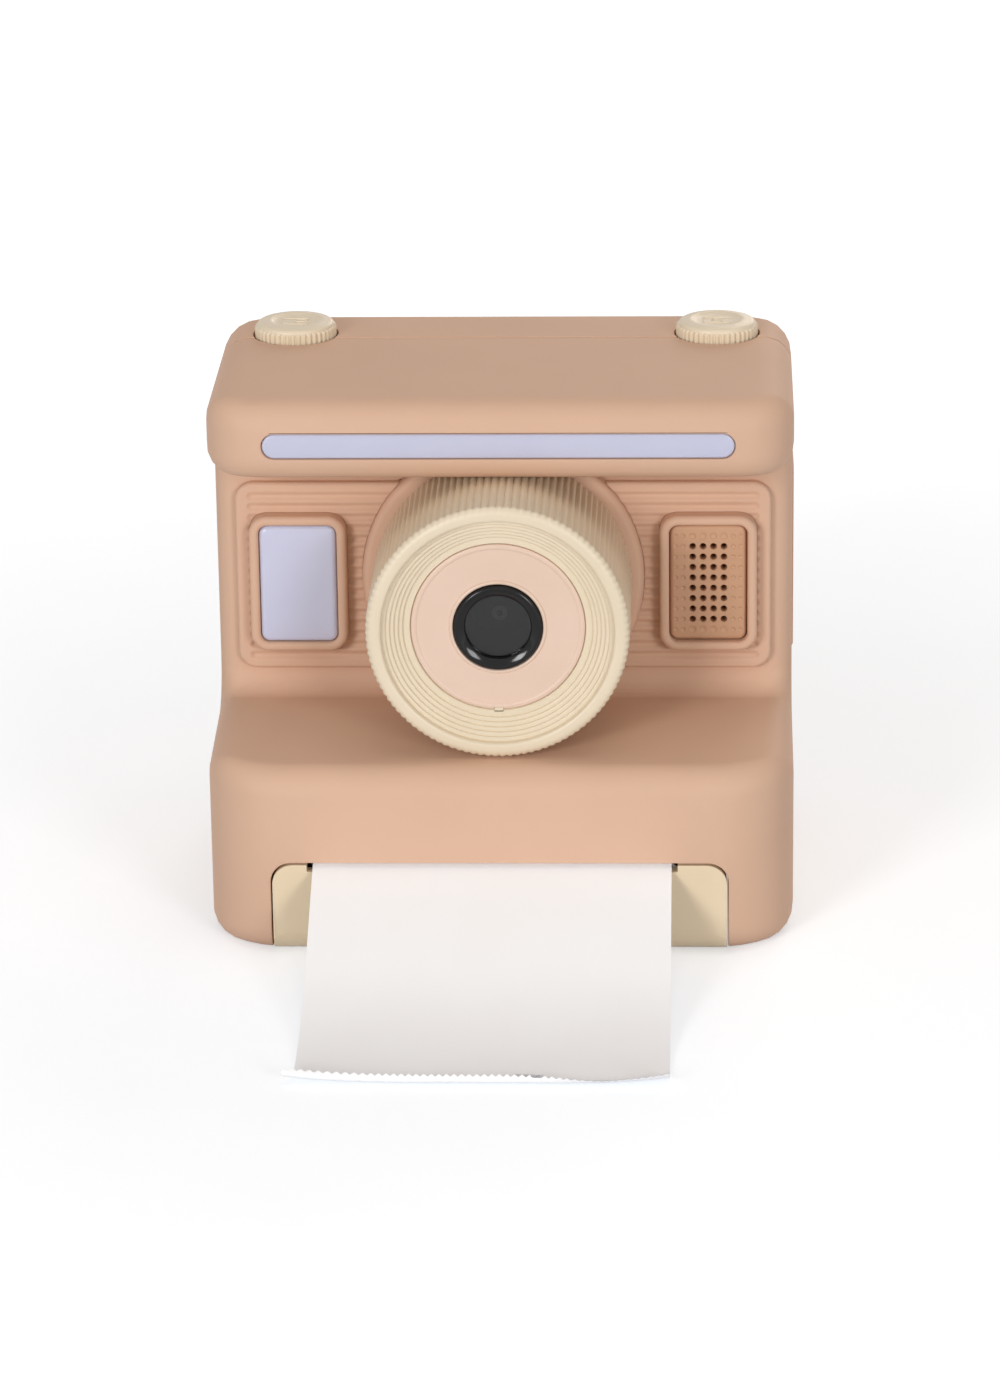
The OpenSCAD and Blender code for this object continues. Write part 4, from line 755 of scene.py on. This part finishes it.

# Thermal paper: the roll inside and the strip that has come out of the slot, runs down to the
# table and ends in a torn edge. The coating is smooth and white, and the thin sheet lets light through.
# A faint cool glow is painted on as emission, standing for the brightener in the coating: this painted
# light lifts the paper's brightness and cools its tone.
coated_paper = moulded("coated_thermal_paper", "#fbfaf9", "#faf8f6", roughness=0.55,
                       grain_mm=0.35, relief_mm=0.004, patch_mm=9, ior=1.5,
                       setup={"Subsurface Weight": 0.15, "Subsurface Radius": (1, 1, 1),
                              "Subsurface Scale": 0.3 * MM,
                              "Emission Color": linear("#d2e2fa"), "Emission Strength": 0.085})
finish_cad(coated_paper, "paper_roll")
sheet_w, sheet_t, sheet_x = 56.0, 0.1, -1.1
roll_y, roll_z, roll_r = -3.0, 14.86, 12.8
feed = radians(24)
table_gap, table_bend_r, table_run = 0.3, 60.0, 7.0
tooth_pitch, tooth_depth = 1.12, 0.42
curl_run, curl_turn = 1.7, radians(118)
# The curl opens by this share towards the sides, from one share of the half width and over another
curl_opening, opening_from, opening_over = 0.8, 0.1, 0.6
# The end lifts over this run in the middle, and over more towards the corners
lift_r, lift_run, corner_lift_run = 11.0, 0.9, 5
corner_flare, flare_run, flare_from = 1.7, 4.0, 0.55
# Rows of points down the slope, on the table, in the lifted end and at the torn tip
slope_rows, table_rows, end_rows, tip_rows = 16, 14, 14, 18
end_run, tip_run, steps_per_row = 8, 2, 4

leave = (roll_y - roll_r * sin(feed), roll_z + roll_r * cos(feed))
slope_run = (leave[1] - table_gap - table_bend_r * (1 - cos(feed))) / sin(feed)
sheet_run = slope_run + table_bend_r * feed + table_run


def smooth_step(t):
    """0 to 1 with soft ends as t runs from 0 to 1."""
    t = max(0, min(1, t))
    return t * t * (3 - 2 * t)


def heading(run, u):
    """Slope of the sheet, up positive, at a run along it and a share u of its half width."""
    left = sheet_run - run
    turn = -feed + max(0, min(feed, (run - slope_run) / table_bend_r))
    turn += max(0, lift_run + corner_lift_run * u * u - left) / lift_r
    curled = 1 - curl_opening * smooth_step((u - opening_from) / opening_over)
    return turn + curl_turn * curled * smooth_step(1 - left / curl_run)


runs = [slope_run * i / slope_rows for i in range(slope_rows)]
runs += [slope_run + (sheet_run - end_run - slope_run) * i / table_rows for i in range(table_rows)]
runs += [sheet_run - end_run + (end_run - tip_run) * i / end_rows for i in range(end_rows)]
runs += [sheet_run - tip_run + tip_run * i / tip_rows for i in range(tip_rows + 1)]
columns = 2 * round(sheet_w / tooth_pitch)
upper, lower = [[] for run in runs], [[] for run in runs]
for c in range(columns + 1):
    u = 2 * c / columns - 1
    y, z = leave
    before = 0
    for k, run in enumerate(runs):
        reach = run + (tooth_depth * (c % 2) if k == len(runs) - 1 else 0)
        step = (reach - before) / steps_per_row
        for i in range(steps_per_row):
            turn = heading(before + step * (i + 0.5), u)
            y -= step * cos(turn)
            z += step * sin(turn)
        before = reach
        turn = heading(reach, u)
        flare = corner_flare * smooth_step((-u - flare_from) / (1 - flare_from))
        flare *= smooth_step(1 - (sheet_run - run) / flare_run)
        x = sheet_x + u * sheet_w / 2 - flare
        lower[k].append((x, y, z))
        upper[k].append((x, y + sheet_t * sin(turn), z + sheet_t * cos(turn)))
strip = skin("paper_strip_sheet", [top + under[::-1] for top, under in zip(upper, lower)])
settle(strip, "casing", "thermal_paper", coated_paper, "paper_strip")
